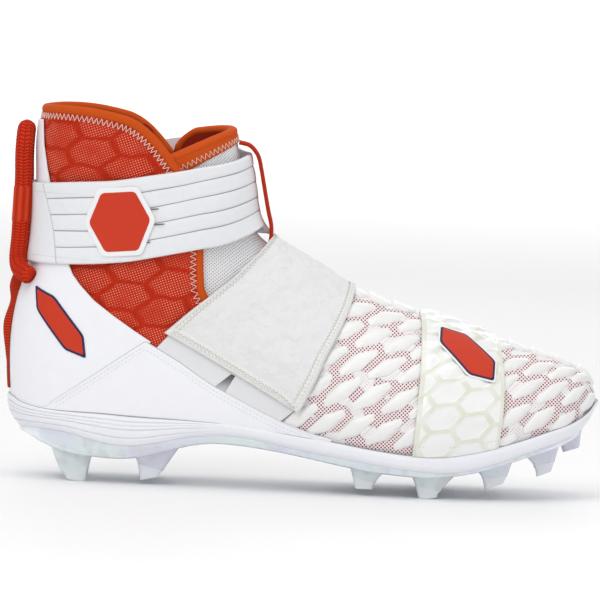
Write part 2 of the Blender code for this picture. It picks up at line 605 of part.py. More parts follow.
def build_studs(plate):
    for name, rear, front, tip_rear, tip_front, tip_up, share, across in STUDS:
        rear, front, tip_rear, tip_front = (LENGTH * v for v in (rear, front, tip_rear, tip_front))
        middle = (rear + front) / 2
        centre, half = half_sole(middle)
        lowest = float(min(line(PLATE, rear), line(PLATE, front), line(PLATE, middle)))
        tip = HEIGHT * tip_up
        joint = tip + 0.55 * (lowest - tip)
        joint_rear = rear + (tip_rear - rear) * 0.6
        joint_front = front + (tip_front - front) * 0.6
        for side, mark in ((-1, "outer"), (1, "inner")):
            y = float(centre + side * share * half)
            thick = 0.0005 * across
            lean = -side * 0.0012
            if lowest - tip < SHORT_STUD:
                foot = rounded(tip_rear, tip_front, y, thick, tip)
            else:
                foot = rounded(joint_rear, joint_front, y, thick * 1.35, joint)
            base = lofted(f"base_{name}_{mark}", [
                foot,
                rounded(rear, front, y + lean, thick * 1.9, lambda along: line(PLATE, along) - 0.0003),
                rounded(rear, front, y + lean, thick * 1.9, lambda along: (line(PLATE, along) + line(FOAM, along)) / 2),
            ], None)
            boolean(plate, base, "UNION")
            if lowest - tip < SHORT_STUD:
                continue
            lofted(f"stud_{name}_{mark}", [
                rounded(tip_rear, tip_front, y, thick, tip),
                rounded(tip_rear - 0.0004, tip_front + 0.0004, y, thick * 1.08, tip + 0.0012),
                rounded(joint_rear, joint_front, y, thick * 1.35, joint - GAP),
            ], "stud_tip")


def build_plate():
    levels = [ring_at(side, heel, toe, PLATE, FOAM, share) for share, side, heel, toe in PLATE_RINGS]
    levels[0][:, 2] -= 2 * GAP
    # The hollow between the studs has the outline of the last ring, drawn in.
    middle = levels[-1].mean(axis=0)
    inner = middle + (levels[-1] - middle) * (0.955, 0.80, 1)
    inner[:, 2] = 0.7 * line(PLATE, inner[:, 0]) + 0.3 * line(FOAM, inner[:, 0])
    plate = ringed("outsole", levels + [inner], "clear_plate")
    build_studs(plate)
    return plate


def build_counter():
    edge = find(along_path(COUNTER_FRONT, 15))
    edge[0, 0] = root(lambda row: above_rim(bare(row, edge[0, 1])) - 0.0012, np.array(12.0), np.array(18.0))
    other = edge * (1, -1) - (0, 2 * math.pi)
    low_turn = np.linspace(edge[0, 1], other[0, 1], 19)
    high_turn = np.linspace(edge[-1, 1], other[-1, 1], 19)
    low = root(lambda row: above_rim(bare(row, low_turn)) - 0.0012, np.full(19, 10.0), np.full(19, 18.5))
    high = np.full(19, edge[-1, 0])
    where = coons(np.stack([low, low_turn], -1), np.stack([high, high_turn], -1), edge, other, 3)
    return draped("heel_counter", where, LAID, LAID + OVERLAY, "synthetic")


def mirrored(where):
    return where * (1, -1)


def build_panels():
    top = along_path(PANEL_TOP, 19)
    foot = np.stack([top[:, 0], line(RIM, top[:, 0]) + 0.0006], -1)
    top[:, 1] = np.maximum(top[:, 1], foot[:, 1] + 0.0004)
    where = find(foot)[None] + (find(top) - find(foot))[None] * np.linspace(0, 1, 5)[:, None, None]
    anchor_low, anchor_high = find(along_path(ANCHOR_LOW, 11)), find(along_path(ANCHOR_HIGH, 11))
    steps = np.linspace(0, 1, 5)[:, None, None]
    anchor = anchor_low[None] + (anchor_high - anchor_low)[None] * steps
    for mark, turned in (("outer", where), ("inner", mirrored(where))):
        draped(f"side_panel_{mark}", turned, LAID, LAID + OVERLAY, "synthetic")
    draped("strap_anchor", anchor, LAID, LAID + OVERLAY, "synthetic")


def edge_rows(value, share, low, high):
    """Rows at which columns at these shares of the way round meet an edge."""
    low, high = np.full_like(share, low), np.full_like(share, high)
    return root(lambda row: value(bare(row, share * rim_turn(row))), low, high)


def build_midfoot_strap():
    corners = np.array([(STRAP_REAR[0][0], STRAP_REAR[0][1]), (0.489, 0.194)]) * (LENGTH, HEIGHT)
    end = find(corners[0] + (corners[1] - corners[0]) * np.linspace(0, 1, 7)[:, None])
    half = np.linspace(0, 1, 13)

    def edge(corner, value, low, high):
        turn = corner[1] * (1 - half)
        row = root(lambda r: value(bare(r, turn)), np.full(13, low), np.full(13, high))
        return np.stack([row, turn], -1)

    def rear_line(p):
        return p[..., 2] - line(STRAP_REAR, p[..., 0])

    def front_line(p):
        return steep(STRAP_FRONT, p[..., 2]) - p[..., 0]

    rear = edge(end[0], rear_line, 9.0, 19.0)
    front = edge(end[-1], front_line, 8.0, 15.0)
    crest = rear[-1] + (front[-1] - rear[-1]) * np.linspace(0, 1, 7)[:, None]
    outer_half = coons(rear, front, end, crest)
    share = np.linspace(0, 0.985, 15)
    rear_in = edge_rows(lambda p: steep(STRAP_REAR_INNER, p[..., 2]) - p[..., 0], share, 9.0, 17.0)
    front_in = edge_rows(lambda p: steep(STRAP_FRONT_INNER, p[..., 2]) - p[..., 0], share, 8.0, 15.0)
    rear_in += (rear[-1, 0] - rear_in[0]) * (1 - share) ** 2
    front_in += (front[-1, 0] - front_in[0]) * (1 - share) ** 2
    row = rear_in + (front_in - rear_in) * np.linspace(0, 1, 7)[:, None]
    inner_half = np.stack([row, share * rim_turn(row)], -1)
    where = np.concatenate([outer_half, inner_half[:, 1:]], axis=1)
    low = np.interp(where[..., 1], (-1.4, -0.5, 0.5, 1.2), (2.2, 0.8, 0.8, 2.2)) * 0.001
    return draped("midfoot_strap", where, low, low + STRAP, "strap_fabric")


def build_band():
    share = np.linspace(-0.985, 0.985, 29)
    rear = edge_rows(lambda p: steep(BAND_REAR, p[..., 2]) - p[..., 0], share, 4.0, 13.0)
    front = edge_rows(lambda p: steep(BAND_FRONT, p[..., 2]) - p[..., 0], share, 2.0, 11.0)
    row = rear + (front - rear) * np.linspace(0, 1, 5)[:, None]
    where = np.stack([row, share * rim_turn(row)], -1)
    return draped("forefoot_band", where, 0.0011, 0.0011 + BAND, "band_film")


def build_ankle_strap():
    turn = np.linspace(-math.pi, math.pi, 37)[:-1]
    outer = turn < 0

    def edge(near_table, far_table):
        def value(row):
            p = bare(row, turn)
            return p[..., 2] - np.where(outer, line(near_table, p[..., 0]), line(far_table, p[..., 0]))
        return root(value, np.full(36, 13.0), np.full(36, 26.5))

    top, low = edge(ANKLE_TOP, ANKLE_TOP_INNER), edge(ANKLE_LOW, ANKLE_LOW_INNER)
    row = low + (top - low) * np.linspace(0, 1, 4)[:, None]
    where = np.stack([row, np.broadcast_to(turn, row.shape)], -1)
    inside = np.interp(np.abs(turn), (0.0, 1.2, 1.8), (0.7, 1.1, 2.1)) * 0.001
    return draped("ankle_strap", where, inside, inside + STRAP, "strap_fabric", ring=True)


def tube(name, path, radius, slot):
    curve = bpy.data.curves.new(name, "CURVE")
    curve.dimensions = "3D"
    curve.bevel_depth = radius
    curve.bevel_resolution = 1
    curve.resolution_u = 2
    curve.use_fill_caps = True
    spline = curve.splines.new("BEZIER")
    spline.bezier_points.add(len(path) - 1)
    for knot, place in zip(spline.bezier_points, path):
        knot.co = place
        knot.handle_left_type = knot.handle_right_type = "AUTO"
    helper = bpy.data.objects.new(name + "_path", curve)
    CUTTERS.objects.link(helper)
    helper.hide_render = True
    helper.display_type = "WIRE"
    graph = bpy.context.evaluated_depsgraph_get()
    mesh = bpy.data.meshes.new_from_object(helper.evaluated_get(graph))
    points = [helper.matrix_world @ vertex.co for vertex in mesh.vertices]
    return solid(name, points, [tuple(face.vertices) for face in mesh.polygons], slot)


def build_heel_loop():
    half = np.array(HEEL_LOOP) * (LENGTH, HALF_BALL, HEIGHT)
    path = np.concatenate([half, half[-2::-1] * (1, -1, 1)])
    return tube("heel_pull_loop", path, 0.0044, "webbing")


def build_heel_webbing():
    table = np.array(HEEL_WEBBING) * (LENGTH, HEIGHT)
    out = smooth(np.linspace(0, 1, len(table)), table, np.linspace(0, 1, 19))
    rows = root(lambda row: bare(row, math.pi)[..., 2] - out[:, 1], np.full(19, 15.0), np.full(19, 26.0))
    across = np.linspace(-1, 1, 5) * 0.0075
    outer, inner = [], []
    for place, row in zip(out, rows):
        back = last(row, math.pi, LAID + GAP + OVERLAY)
        curve = across**2 / 0.054
        deep = np.column_stack([back[0] + curve, across, np.full(5, place[1])])
        face = np.column_stack([np.minimum(place[0] + curve * 0.8, deep[:, 0] - 0.0008), across, deep[:, 2]])
        deep[:, 0] -= 0.0002
        outer.append(face)
        inner.append(deep)
    return skin("heel_webbing", np.array(outer), np.array(inner), "webbing")


def build_tongue_pull():
    table = np.array(TONGUE_PULL) * (LENGTH, HEIGHT)
    path = smooth(np.linspace(0, 1, len(table)), table, np.linspace(0, 1, 15))
    run = np.gradient(path, axis=0)
    run /= np.linalg.norm(run, axis=1, keepdims=True)
    out = np.column_stack([-run[:, 1], run[:, 0]])
    across = np.linspace(-0.0065, 0.0065, 3)
    grids = []
    for lift in (0.0010, -0.0010):
        flat = path + out * lift
        grids.append(np.array([[(x, y, z) for y in across] for x, z in flat]))
    return skin("tongue_pull", grids[0], grids[1], "webbing")


def main():
    build_plate()
    build_midsole()
    build_insole()
    build_upper()
    build_tongue()
    build_counter()
    build_panels()
    build_midfoot_strap()
    build_band()
    build_ankle_strap()
    build_heel_loop()
    build_heel_webbing()
    build_tongue_pull()
    # The origin is the middle of the underside of the whole shoe's box.
    # The upper is left out, because its mesh still holds what the collar's cutter takes away.
    corners = np.array([v.co for piece in SHOE.objects if piece.name != "upper" for v in piece.data.vertices])
    low, high = corners.min(axis=0), corners.max(axis=0)
    move = np.array([-(low[0] + high[0]) / 2, -(low[1] + high[1]) / 2, -low[2]])
    for piece in list(SHOE.objects) + list(CUTTERS.objects):
        if piece.type != "MESH":
            continue
        for vertex in piece.data.vertices:
            vertex.co = tuple(np.array(vertex.co) + move)
        for face in piece.data.polygons:
            face.use_smooth = True
        piece.data.set_sharp_from_angle(angle=math.radians(38))


main()
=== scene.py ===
"""Looks of the football cleat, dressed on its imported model.

The upper's last is the same function as in the part's source: a point is given by its row, from 0 at the
nose to 27 above the collar, and its turn, 0 on the crest, below 0 on the outer side, pi at the base.
Lengths along that surface are in millimetres where a name ends in _mm, and in metres otherwise.
"""

import math

import bmesh
import bpy
import numpy as np
from mathutils import Matrix, Vector
from mathutils.kdtree import KDTree


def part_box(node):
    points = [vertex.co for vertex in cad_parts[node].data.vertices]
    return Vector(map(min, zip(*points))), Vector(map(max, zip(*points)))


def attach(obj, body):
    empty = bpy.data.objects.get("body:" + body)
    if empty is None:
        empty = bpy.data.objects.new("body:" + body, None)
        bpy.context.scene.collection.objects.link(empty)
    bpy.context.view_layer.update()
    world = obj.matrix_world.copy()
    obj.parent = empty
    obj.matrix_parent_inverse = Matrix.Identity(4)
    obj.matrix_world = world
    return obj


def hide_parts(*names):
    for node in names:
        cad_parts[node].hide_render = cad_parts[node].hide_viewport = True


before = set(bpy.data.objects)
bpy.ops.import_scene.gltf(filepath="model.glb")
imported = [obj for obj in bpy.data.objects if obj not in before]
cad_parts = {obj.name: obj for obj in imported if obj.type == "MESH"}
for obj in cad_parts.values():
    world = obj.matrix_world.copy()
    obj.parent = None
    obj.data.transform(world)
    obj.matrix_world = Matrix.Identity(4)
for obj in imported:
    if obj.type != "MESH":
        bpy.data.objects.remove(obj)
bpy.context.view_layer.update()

# Named sizes of the part's source, in metres.
LENGTH = 0.300
HEIGHT = 0.190
HALF_BALL = 0.048
WALL = 0.0025
GAP = 0.0003
LAID = 0.0007
OVERLAY = 0.0010
STRAP = 0.0021
BAND = 0.0012
TONGUE = 0.0045
# Distances from the last: the tongue's outer face, and the inner faces of the band and, at the side, of the
# ankle strap. A panel stands out farther than the other overlays by PANEL_MORE.
TONGUE_OUT = -WALL - 2 * GAP
BAND_LOW = 0.0011
ANKLE_LOW_SIDE = 0.0021
PANEL_MORE = 0.0006
FOAM_TOP = 0.262 * HEIGHT
PI = math.pi
SIN_60 = 0.8660254
# The steps of a regular honeycomb, as columns, whose cells are 1 across.
REGULAR = np.array([[0.5, 0.5], [-SIN_60, SIN_60]])

SECTIONS = (
    # crest along, crest up, base along, base up, half width, wide at, top roof, low roof, mid, crest side
    (0.995, 0.253, 0.995, 0.253, 0.00, 0.50, 0.10, -0.30, 0.25, 0.25),
    (0.991, 0.297, 0.985, 0.197, 0.29, 0.47, 0.10, -0.40, 0.24, 0.245),
    (0.979, 0.326, 0.963, 0.155, 0.51, 0.44, 0.00, -0.50, 0.22, 0.235),
    (0.958, 0.349, 0.933, 0.126, 0.68, 0.41, 0.00, -0.60, 0.19, 0.22),
    (0.923, 0.369, 0.890, 0.097, 0.80, 0.38, 0.00, -0.60, 0.13, 0.20),
    (0.873, 0.390, 0.833, 0.063, 0.905, 0.36, 0.05, -0.60, 0.06, 0.17),
    (0.815, 0.417, 0.773, 0.040, 0.975, 0.35, 0.10, -0.60, 0.00, 0.15),
    (0.752, 0.449, 0.710, 0.032, 1.00, 0.34, 0.15, -0.60, -0.045, 0.135),
    (0.685, 0.479, 0.640, 0.040, 0.96, 0.33, 0.20, -0.60, -0.085, 0.12),
    (0.623, 0.505, 0.567, 0.053, 0.88, 0.33, 0.25, -0.60, -0.11, 0.105),
    (0.567, 0.539, 0.490, 0.066, 0.81, 0.33, 0.28, -0.50, -0.115, 0.085),
    (0.517, 0.584, 0.410, 0.071, 0.765, 0.34, 0.28, -0.50, -0.09, 0.065),
    (0.479, 0.618, 0.330, 0.058, 0.74, 0.36, 0.26, -0.50, -0.055, 0.045),
    (0.452, 0.643, 0.247, 0.032, 0.73, 0.39, 0.24, -0.50, -0.025, 0.025),
    (0.431, 0.666, 0.153, 0.000, 0.725, 0.42, 0.20, -0.50, -0.01, 0.01),
    (0.416, 0.691, 0.073, 0.010, 0.725, 0.45, 0.15, -0.60, 0.0, 0.0),
    (0.407, 0.721, 0.027, 0.095, 0.725, 0.47, 0.10, -0.60, 0.0, 0.0),
    (0.402, 0.751, 0.012, 0.200, 0.72, 0.48, 0.05, -0.60, 0.0, 0.0),
    (0.399, 0.782, 0.006, 0.300, 0.715, 0.48, 0.00, -0.55, 0.0, 0.0),
    (0.396, 0.812, 0.006, 0.389, 0.71, 0.48, -0.05, -0.50, 0.0, 0.0),
    (0.392, 0.842, 0.014, 0.476, 0.70, 0.47, -0.10, -0.45, 0.0, 0.0),
    (0.388, 0.873, 0.029, 0.560, 0.69, 0.46, -0.12, -0.40, 0.0, 0.0),
    (0.384, 0.902, 0.039, 0.645, 0.69, 0.46, -0.15, -0.35, 0.0, 0.0),
    (0.380, 0.932, 0.041, 0.729, 0.70, 0.46, -0.15, -0.30, 0.0, 0.0),
    (0.375, 0.961, 0.039, 0.811, 0.72, 0.46, -0.15, -0.30, 0.0, 0.0),
    (0.369, 0.990, 0.037, 0.892, 0.735, 0.46, -0.15, -0.30, 0.0, 0.0),
    (0.362, 1.020, 0.040, 0.971, 0.75, 0.46, -0.15, -0.30, 0.0, 0.0),
    (0.355, 1.053, 0.047, 1.047, 0.76, 0.46, -0.15, -0.30, 0.0, 0.0),
)
# Lines of the side view: shares of LENGTH along and of HEIGHT up. The tables that steep() reads, of the
# straps' front edges, the inner side's edges and the band, hold up before along.
RIM = (
    (-0.03, 0.235), (0.008, 0.221), (0.022, 0.209), (0.040, 0.201), (0.067, 0.195), (0.107, 0.192),
    (0.160, 0.191), (0.210, 0.187), (0.310, 0.182), (0.363, 0.178), (0.413, 0.170), (0.480, 0.158),
    (0.550, 0.143), (0.617, 0.127), (0.687, 0.116), (0.720, 0.115), (0.753, 0.119), (0.787, 0.129),
    (0.853, 0.155), (0.920, 0.190), (0.953, 0.208), (0.970, 0.222), (0.987, 0.243), (0.995, 0.259),
    (1.03, 0.330),
)
FOAM = (
    (-0.03, 0.137), (0.023, 0.137), (0.040, 0.139), (0.077, 0.139), (0.110, 0.133), (0.143, 0.120),
    (0.177, 0.109), (0.212, 0.106), (0.247, 0.114), (0.280, 0.126), (0.313, 0.137), (0.347, 0.143),
    (0.397, 0.144), (0.430, 0.137), (0.467, 0.126), (0.533, 0.110), (0.600, 0.095), (0.670, 0.081),
    (0.703, 0.077), (0.737, 0.075), (0.770, 0.080), (0.805, 0.092), (0.838, 0.109), (0.905, 0.146),
    (0.938, 0.164), (0.972, 0.184), (0.987, 0.205), (0.998, 0.237), (1.03, 0.295),
)
COLLAR = (
    (-0.06, 0.978), (-0.02, 0.982), (0.035, 0.987), (0.069, 0.990), (0.103, 0.989), (0.137, 0.984),
    (0.162, 0.977), (0.188, 0.968), (0.205, 0.955), (0.222, 0.936), (0.240, 0.908), (0.258, 0.874),
    (0.279, 0.829), (0.294, 0.787), (0.307, 0.727), (0.315, 0.674), (0.319, 0.629), (0.320, 0.578),
    (0.323, 0.525), (0.337, 0.482), (0.367, 0.453), (0.407, 0.450), (0.453, 0.474), (0.500, 0.521),
    (0.545, 0.600), (0.58, 0.70),
)
COUNTER_FRONT = (
    (0.070, 0.200), (0.148, 0.280), (0.243, 0.381), (0.211, 0.412), (0.177, 0.447), (0.143, 0.486),
    (0.119, 0.525), (0.106, 0.552), (0.093, 0.600), (0.079, 0.690), (0.065, 0.770), (0.056, 0.830),
    (0.049, 0.890), (0.046, 0.955),
)
PANEL_TOP = (
    (0.069, 0.198), (0.108, 0.244), (0.148, 0.289), (0.189, 0.336), (0.232, 0.384), (0.264, 0.356),
    (0.293, 0.330), (0.325, 0.297), (0.352, 0.272), (0.394, 0.241), (0.435, 0.211), (0.477, 0.184),
    (0.520, 0.162), (0.552, 0.149),
)
ANCHOR_LOW = ((0.245, 0.372), (0.313, 0.324), (0.370, 0.272), (0.413, 0.236), (0.462, 0.203))
ANCHOR_HIGH = ((0.276, 0.412), (0.330, 0.372), (0.390, 0.318), (0.445, 0.266), (0.492, 0.226))
STRAP_REAR = (
    (0.262, 0.408), (0.307, 0.471), (0.336, 0.508), (0.369, 0.550), (0.400, 0.601), (0.427, 0.647),
    (0.445, 0.690),
)
STRAP_FRONT = (
    (0.19, 0.487), (0.254, 0.509), (0.295, 0.521), (0.344, 0.533), (0.404, 0.551), (0.434, 0.560),
    (0.469, 0.569), (0.511, 0.577), (0.56, 0.580),
)
STRAP_REAR_INNER = ((0.15, 0.345), (0.25, 0.355), (0.40, 0.375), (0.52, 0.395), (0.62, 0.420), (0.72, 0.440))
STRAP_FRONT_INNER = ((0.12, 0.525), (0.25, 0.545), (0.40, 0.565), (0.50, 0.576), (0.56, 0.580))
BAND_REAR = (
    (0.08, 0.685), (0.113, 0.687), (0.180, 0.690), (0.261, 0.693), (0.341, 0.695), (0.408, 0.695),
    (0.461, 0.693), (0.488, 0.688), (0.52, 0.680),
)
BAND_FRONT = (
    (0.10, 0.829), (0.146, 0.830), (0.216, 0.835), (0.283, 0.837), (0.344, 0.835), (0.382, 0.830),
    (0.408, 0.824), (0.44, 0.812),
)
ANKLE_TOP = (
    (0.00, 0.782), (0.032, 0.786), (0.106, 0.798), (0.175, 0.808), (0.226, 0.823), (0.277, 0.837),
    (0.310, 0.848), (0.343, 0.858), (0.368, 0.868), (0.385, 0.880), (0.42, 0.905),
)
ANKLE_LOW = (
    (0.00, 0.571), (0.048, 0.572), (0.113, 0.578), (0.163, 0.585), (0.198, 0.592), (0.232, 0.603),
    (0.265, 0.614), (0.316, 0.631), (0.349, 0.641), (0.383, 0.660), (0.408, 0.680), (0.44, 0.71),
)
ANKLE_TOP_INNER = ((0.00, 0.782), (0.04, 0.790), (0.12, 0.838), (0.20, 0.885), (0.28, 0.915),
                   (0.34, 0.912), (0.385, 0.886), (0.42, 0.880))
ANKLE_LOW_INNER = ((0.00, 0.571), (0.04, 0.575), (0.12, 0.615), (0.20, 0.655), (0.28, 0.685),
                   (0.34, 0.684), (0.395, 0.670), (0.44, 0.670))
# Rings of the midsole wall, lowest first: height from FOAM up to RIM, then mm out from the feather line at
# the side, the heel end and the toe end.
MIDSOLE_RINGS = (
    (0.00, 1.0, -4.0, -5.5), (0.14, 2.0, -1.6, -3.1), (0.22, 2.3, -0.6, -1.9), (0.30, 2.6, 0.4, -0.9),
    (0.41, 2.8, 1.4, 0.4), (0.49, 2.9, 2.0, 1.2), (0.57, 3.0, 2.4, 1.8), (0.68, 3.0, 3.0, 2.4),
    (0.76, 2.9, 3.1, 2.7), (0.84, 2.8, 3.2, 2.8), (0.94, 2.2, 2.8, 2.2), (1.00, 1.2, 1.6, 1.0),
)
FOAM_GROOVES = (0.76, 0.49, 0.22, 0.62)  # heights of the grooves round its heel half
HEEL_LOOP = (  # along, side as a share of HALF_BALL, up
    (0.0300, -0.500, 0.542), (0.0157, -0.379, 0.556), (0.0087, -0.260, 0.584), (0.0077, -0.192, 0.637),
    (0.0073, -0.162, 0.711), (0.0067, -0.154, 0.789), (0.0070, -0.146, 0.858), (0.0087, -0.112, 0.903),
    (0.0100, 0.000, 0.926),
)
HEEL_WEBBING = (  # along, up
    (0.0120, 0.563), (0.0020, 0.537), (-0.0033, 0.505), (-0.0013, 0.466), (-0.0113, 0.403), (-0.0063, 0.332),
    (0.0000, 0.274), (0.0053, 0.234),
)
TONGUE_PULL = (  # along, up
    (0.3740, 0.914), (0.3910, 0.908), (0.4013, 0.894), (0.4087, 0.875), (0.4140, 0.842), (0.4210, 0.789),
    (0.4280, 0.737), (0.4347, 0.698),
)
# Steps between neighbouring cells of the honeycomb that the forefoot, the band and the mesh share, in mm.
CELL_A = (14.7, -1.5)
CELL_B = (7.7, 16.3)


# The last, as in the part's source.


def smooth(knots, values, at):
    """Values between the rows of a table, along one smooth curve."""
    knots = np.asarray(knots, float)
    values = np.asarray(values, float)
    at = np.clip(np.asarray(at, float), knots[0], knots[-1])
    slopes = np.gradient(values, knots, axis=0)
    left = np.clip(np.searchsorted(knots, at, side="right") - 1, 0, len(knots) - 2)
    span = knots[left + 1] - knots[left]
    t = (at - knots[left]) / span
    if values.ndim > 1:
        shape = span.shape + (1,) * (values.ndim - 1)
        span, t = span.reshape(shape), t.reshape(shape)
    first, second = values[left], values[left + 1]
    rise = (1 + 2 * t) * (1 - t) ** 2 * first + t * t * (3 - 2 * t) * second
    return rise + span * (t * (1 - t) ** 2 * slopes[left] - t * t * (1 - t) * slopes[left + 1])


def line(table, at, knot_size=LENGTH, value_size=HEIGHT):
    """Height in metres of a line of the side view, this far along."""
    table = np.array(table)
    return value_size * smooth(table[:, 0] * knot_size, table[:, 1], at)


def steep(table, up):
    """How far along a steep line is, at this height."""
    return line(table, up, HEIGHT, LENGTH)


def gone_along(path):
    """Length gone from a path's start to each of its points."""
    return np.concatenate([[0], np.cumsum(np.linalg.norm(np.diff(path, axis=0), axis=1))])


def along_path(table, steps):
    """Points at even steps along a line of the side view, straight between its corners."""
    points = np.array(table) * (LENGTH, HEIGHT)
    gone = gone_along(points)
    at = np.linspace(0, gone[-1], steps)
    return np.stack([np.interp(at, gone, points[:, 0]), np.interp(at, gone, points[:, 1])], -1)


def between(low, high, count):
    """Steps from low to high, on a new first axis."""
    low, high = np.asarray(low), np.asarray(high)
    return low + (high - low) * np.linspace(0, 1, count).reshape(-1, *[1] * low.ndim)


def root(value, low, high):
    """Where value turns from below zero to above it, between low and high."""
    for _ in range(34):
        middle = (low + high) / 2
        under = value(middle) < 0
        low = np.where(under, middle, low)
        high = np.where(under, high, middle)
    return (low + high) / 2


SHAPE = np.array(SECTIONS) * ([LENGTH, HEIGHT] * 2 + [HALF_BALL, 1, 1, 1, HALF_BALL, HALF_BALL])
BEFORE = SHAPE[1][[2, 3, 0, 1, 4, 5, 6, 7, 8, 9]] * (1, 1, 1, 1, -1, 1, 1, 1, 1, 1)
SHAPE = np.vstack([BEFORE, SHAPE])
KNOTS = np.arange(-1, len(SECTIONS))
LAST_ROW = len(SECTIONS) - 1


def bare(row, turn):
    """A point of the last itself."""
    shape = smooth(KNOTS, SHAPE, row)
    half, wide, top_roof, low_roof, mid, crest = np.moveaxis(shape[..., 4:], -1, 0)
    c = np.cos(turn)
    share = wide + np.where(c > 0, 1 - wide, wide) * c
    roof = np.where(c > 0, top_roof, low_roof)
    middle = mid + (crest - mid) * np.where(c > 0, c * c, 0)
    side = middle + half * np.sin(turn) * np.sqrt(1 - roof * c * c)
    along = shape[..., 2] + (shape[..., 0] - shape[..., 2]) * share
    up = shape[..., 3] + (shape[..., 1] - shape[..., 3]) * share
    return np.stack([along, side, up], -1)


def outward(row, turn):
    """The last's unit normal."""
    step = 1e-3
    over = bare(row, turn + step) - bare(row, turn - step)
    back = bare(row + step, turn) - bare(row - step, turn)
    normal = np.cross(over, back)
    return normal / (np.linalg.norm(normal, axis=-1, keepdims=True) + 1e-12)


def last(row, turn, out=0.0):
    """A point this far out from the last."""
    row, turn = np.broadcast_arrays(np.asarray(row, float), np.asarray(turn, float))
    return bare(row, turn) + outward(row, turn) * np.asarray(out)[..., None]


def above_rim(point):
    return point[..., 2] - line(RIM, point[..., 0])


def rim_turn(row):
    """The turn, on the inner side, at which a row meets the sole's rim."""
    row = np.asarray(row, float)
    low = np.zeros_like(row)
    return root(lambda turn: -above_rim(bare(row, turn)), low, low + PI)


NOSE_ROW = float(root(lambda row: above_rim(bare(row, 0.0)), np.array(0.0), np.array(1.5)))
RIM_ROW = float(root(lambda row: above_rim(bare(row, PI)), np.array(15.0), np.array(18.5)))


def find(points):
    """Row and turn, on the outer side, of these points of the side view."""
    along, up = points[..., 0], points[..., 1]

    def behind(row):
        shape = smooth(KNOTS, SHAPE, row)
        axis = shape[..., 0:2] - shape[..., 2:4]
        return axis[..., 1] * (along - shape[..., 2]) - axis[..., 0] * (up - shape[..., 3])

    row = root(behind, np.zeros_like(along), np.full_like(along, LAST_ROW))
    shape = smooth(KNOTS, SHAPE, row)
    axis = shape[..., 0:2] - shape[..., 2:4]
    share = ((points - shape[..., 2:4]) * axis).sum(-1) / (axis**2).sum(-1)
    wide = shape[..., 5]
    c = (share - wide) / np.where(share > wide, 1 - wide, wide)
    return np.stack([row, -np.arccos(np.clip(c, -1, 1))], -1)


def coons(south, north, west, east, fade=1):
    """A grid of rows and turns between four edges. A larger fade keeps the side edges' bends near them."""
    s = np.linspace(0, 1, len(south))[None, :, None]
    t = np.linspace(0, 1, len(west))[:, None, None]
    west_bend = west[:, None] - (1 - t) * west[0] - t * west[-1]
    east_bend = east[:, None] - (1 - t) * east[0] - t * east[-1]
    return (1 - t) * south[None] + t * north[None] + (1 - s) ** fade * west_bend + s**fade * east_bend


# The flat pattern: each section is laid out straight in the side view, and the line through the widest
# points at its true length, so that a pattern drawn on it keeps its size on the upper.
FLAT_ROWS = np.concatenate([np.linspace(0.03, 1.0, 40)[:-1], np.linspace(1.0, LAST_ROW, 420)])
FLAT_TURNS = np.linspace(-PI, 0, 161)


def flat_pattern():
    points = bare(FLAT_ROWS[:, None], FLAT_TURNS[None])
    arc = np.concatenate([np.zeros((len(FLAT_ROWS), 1)),
                          np.cumsum(np.linalg.norm(np.diff(points, axis=1), axis=2), axis=1)], axis=1)
    arc -= arc[:, [80]]
    shape = smooth(KNOTS, SHAPE, FLAT_ROWS)
    way = shape[:, 0:2] - shape[:, 2:4]
    way /= np.linalg.norm(way, axis=1, keepdims=True) + 1e-9
    wide = points[:, 80]
    flat_step = np.diff(wide[:, [0, 2]], axis=0)
    true_step = np.linalg.norm(np.diff(wide, axis=0), axis=1)
    flat_step *= (true_step / (np.linalg.norm(flat_step, axis=1) + 1e-9))[:, None]
    run = np.concatenate([[[0, 0]], np.cumsum(flat_step, axis=0)])
    pinned = int(np.argmin(np.abs(FLAT_ROWS - 9)))
    run += wide[pinned, [0, 2]] - run[pinned]
    return (run[:, None] + way[:, None] * arc[..., None]) * 1000


FLAT = flat_pattern()
TREE = KDTree(FLAT.shape[0] * FLAT.shape[1])
for number, place in enumerate(FLAT.reshape(-1, 2)):
    TREE.insert((place[0], place[1], 0), number)
TREE.balance()


def read_grid(grid, i, j):
    """What a grid holds at row i and column j, whole or not."""
    i, j = np.clip(i, 0, len(grid) - 1.001), np.clip(j, 0, grid.shape[1] - 1.001)
    a, b = i.astype(int), j.astype(int)
    u, v = (i - a)[..., None], (j - b)[..., None]
    return ((1 - u) * (1 - v) * grid[a, b] + u * (1 - v) * grid[a + 1, b]
            + (1 - u) * v * grid[a, b + 1] + u * v * grid[a + 1, b + 1])


def to_flat(row, turn):
    """Place on the flat pattern, in mm, of these points of either side."""
    row, turn = np.broadcast_arrays(np.asarray(row, float), -np.abs(np.asarray(turn, float)))
    turn = np.where(turn < -PI, -2 * PI - turn, turn)
    return read_grid(FLAT, np.interp(row, FLAT_ROWS, np.arange(len(FLAT_ROWS))), (turn + PI) / PI * 160)


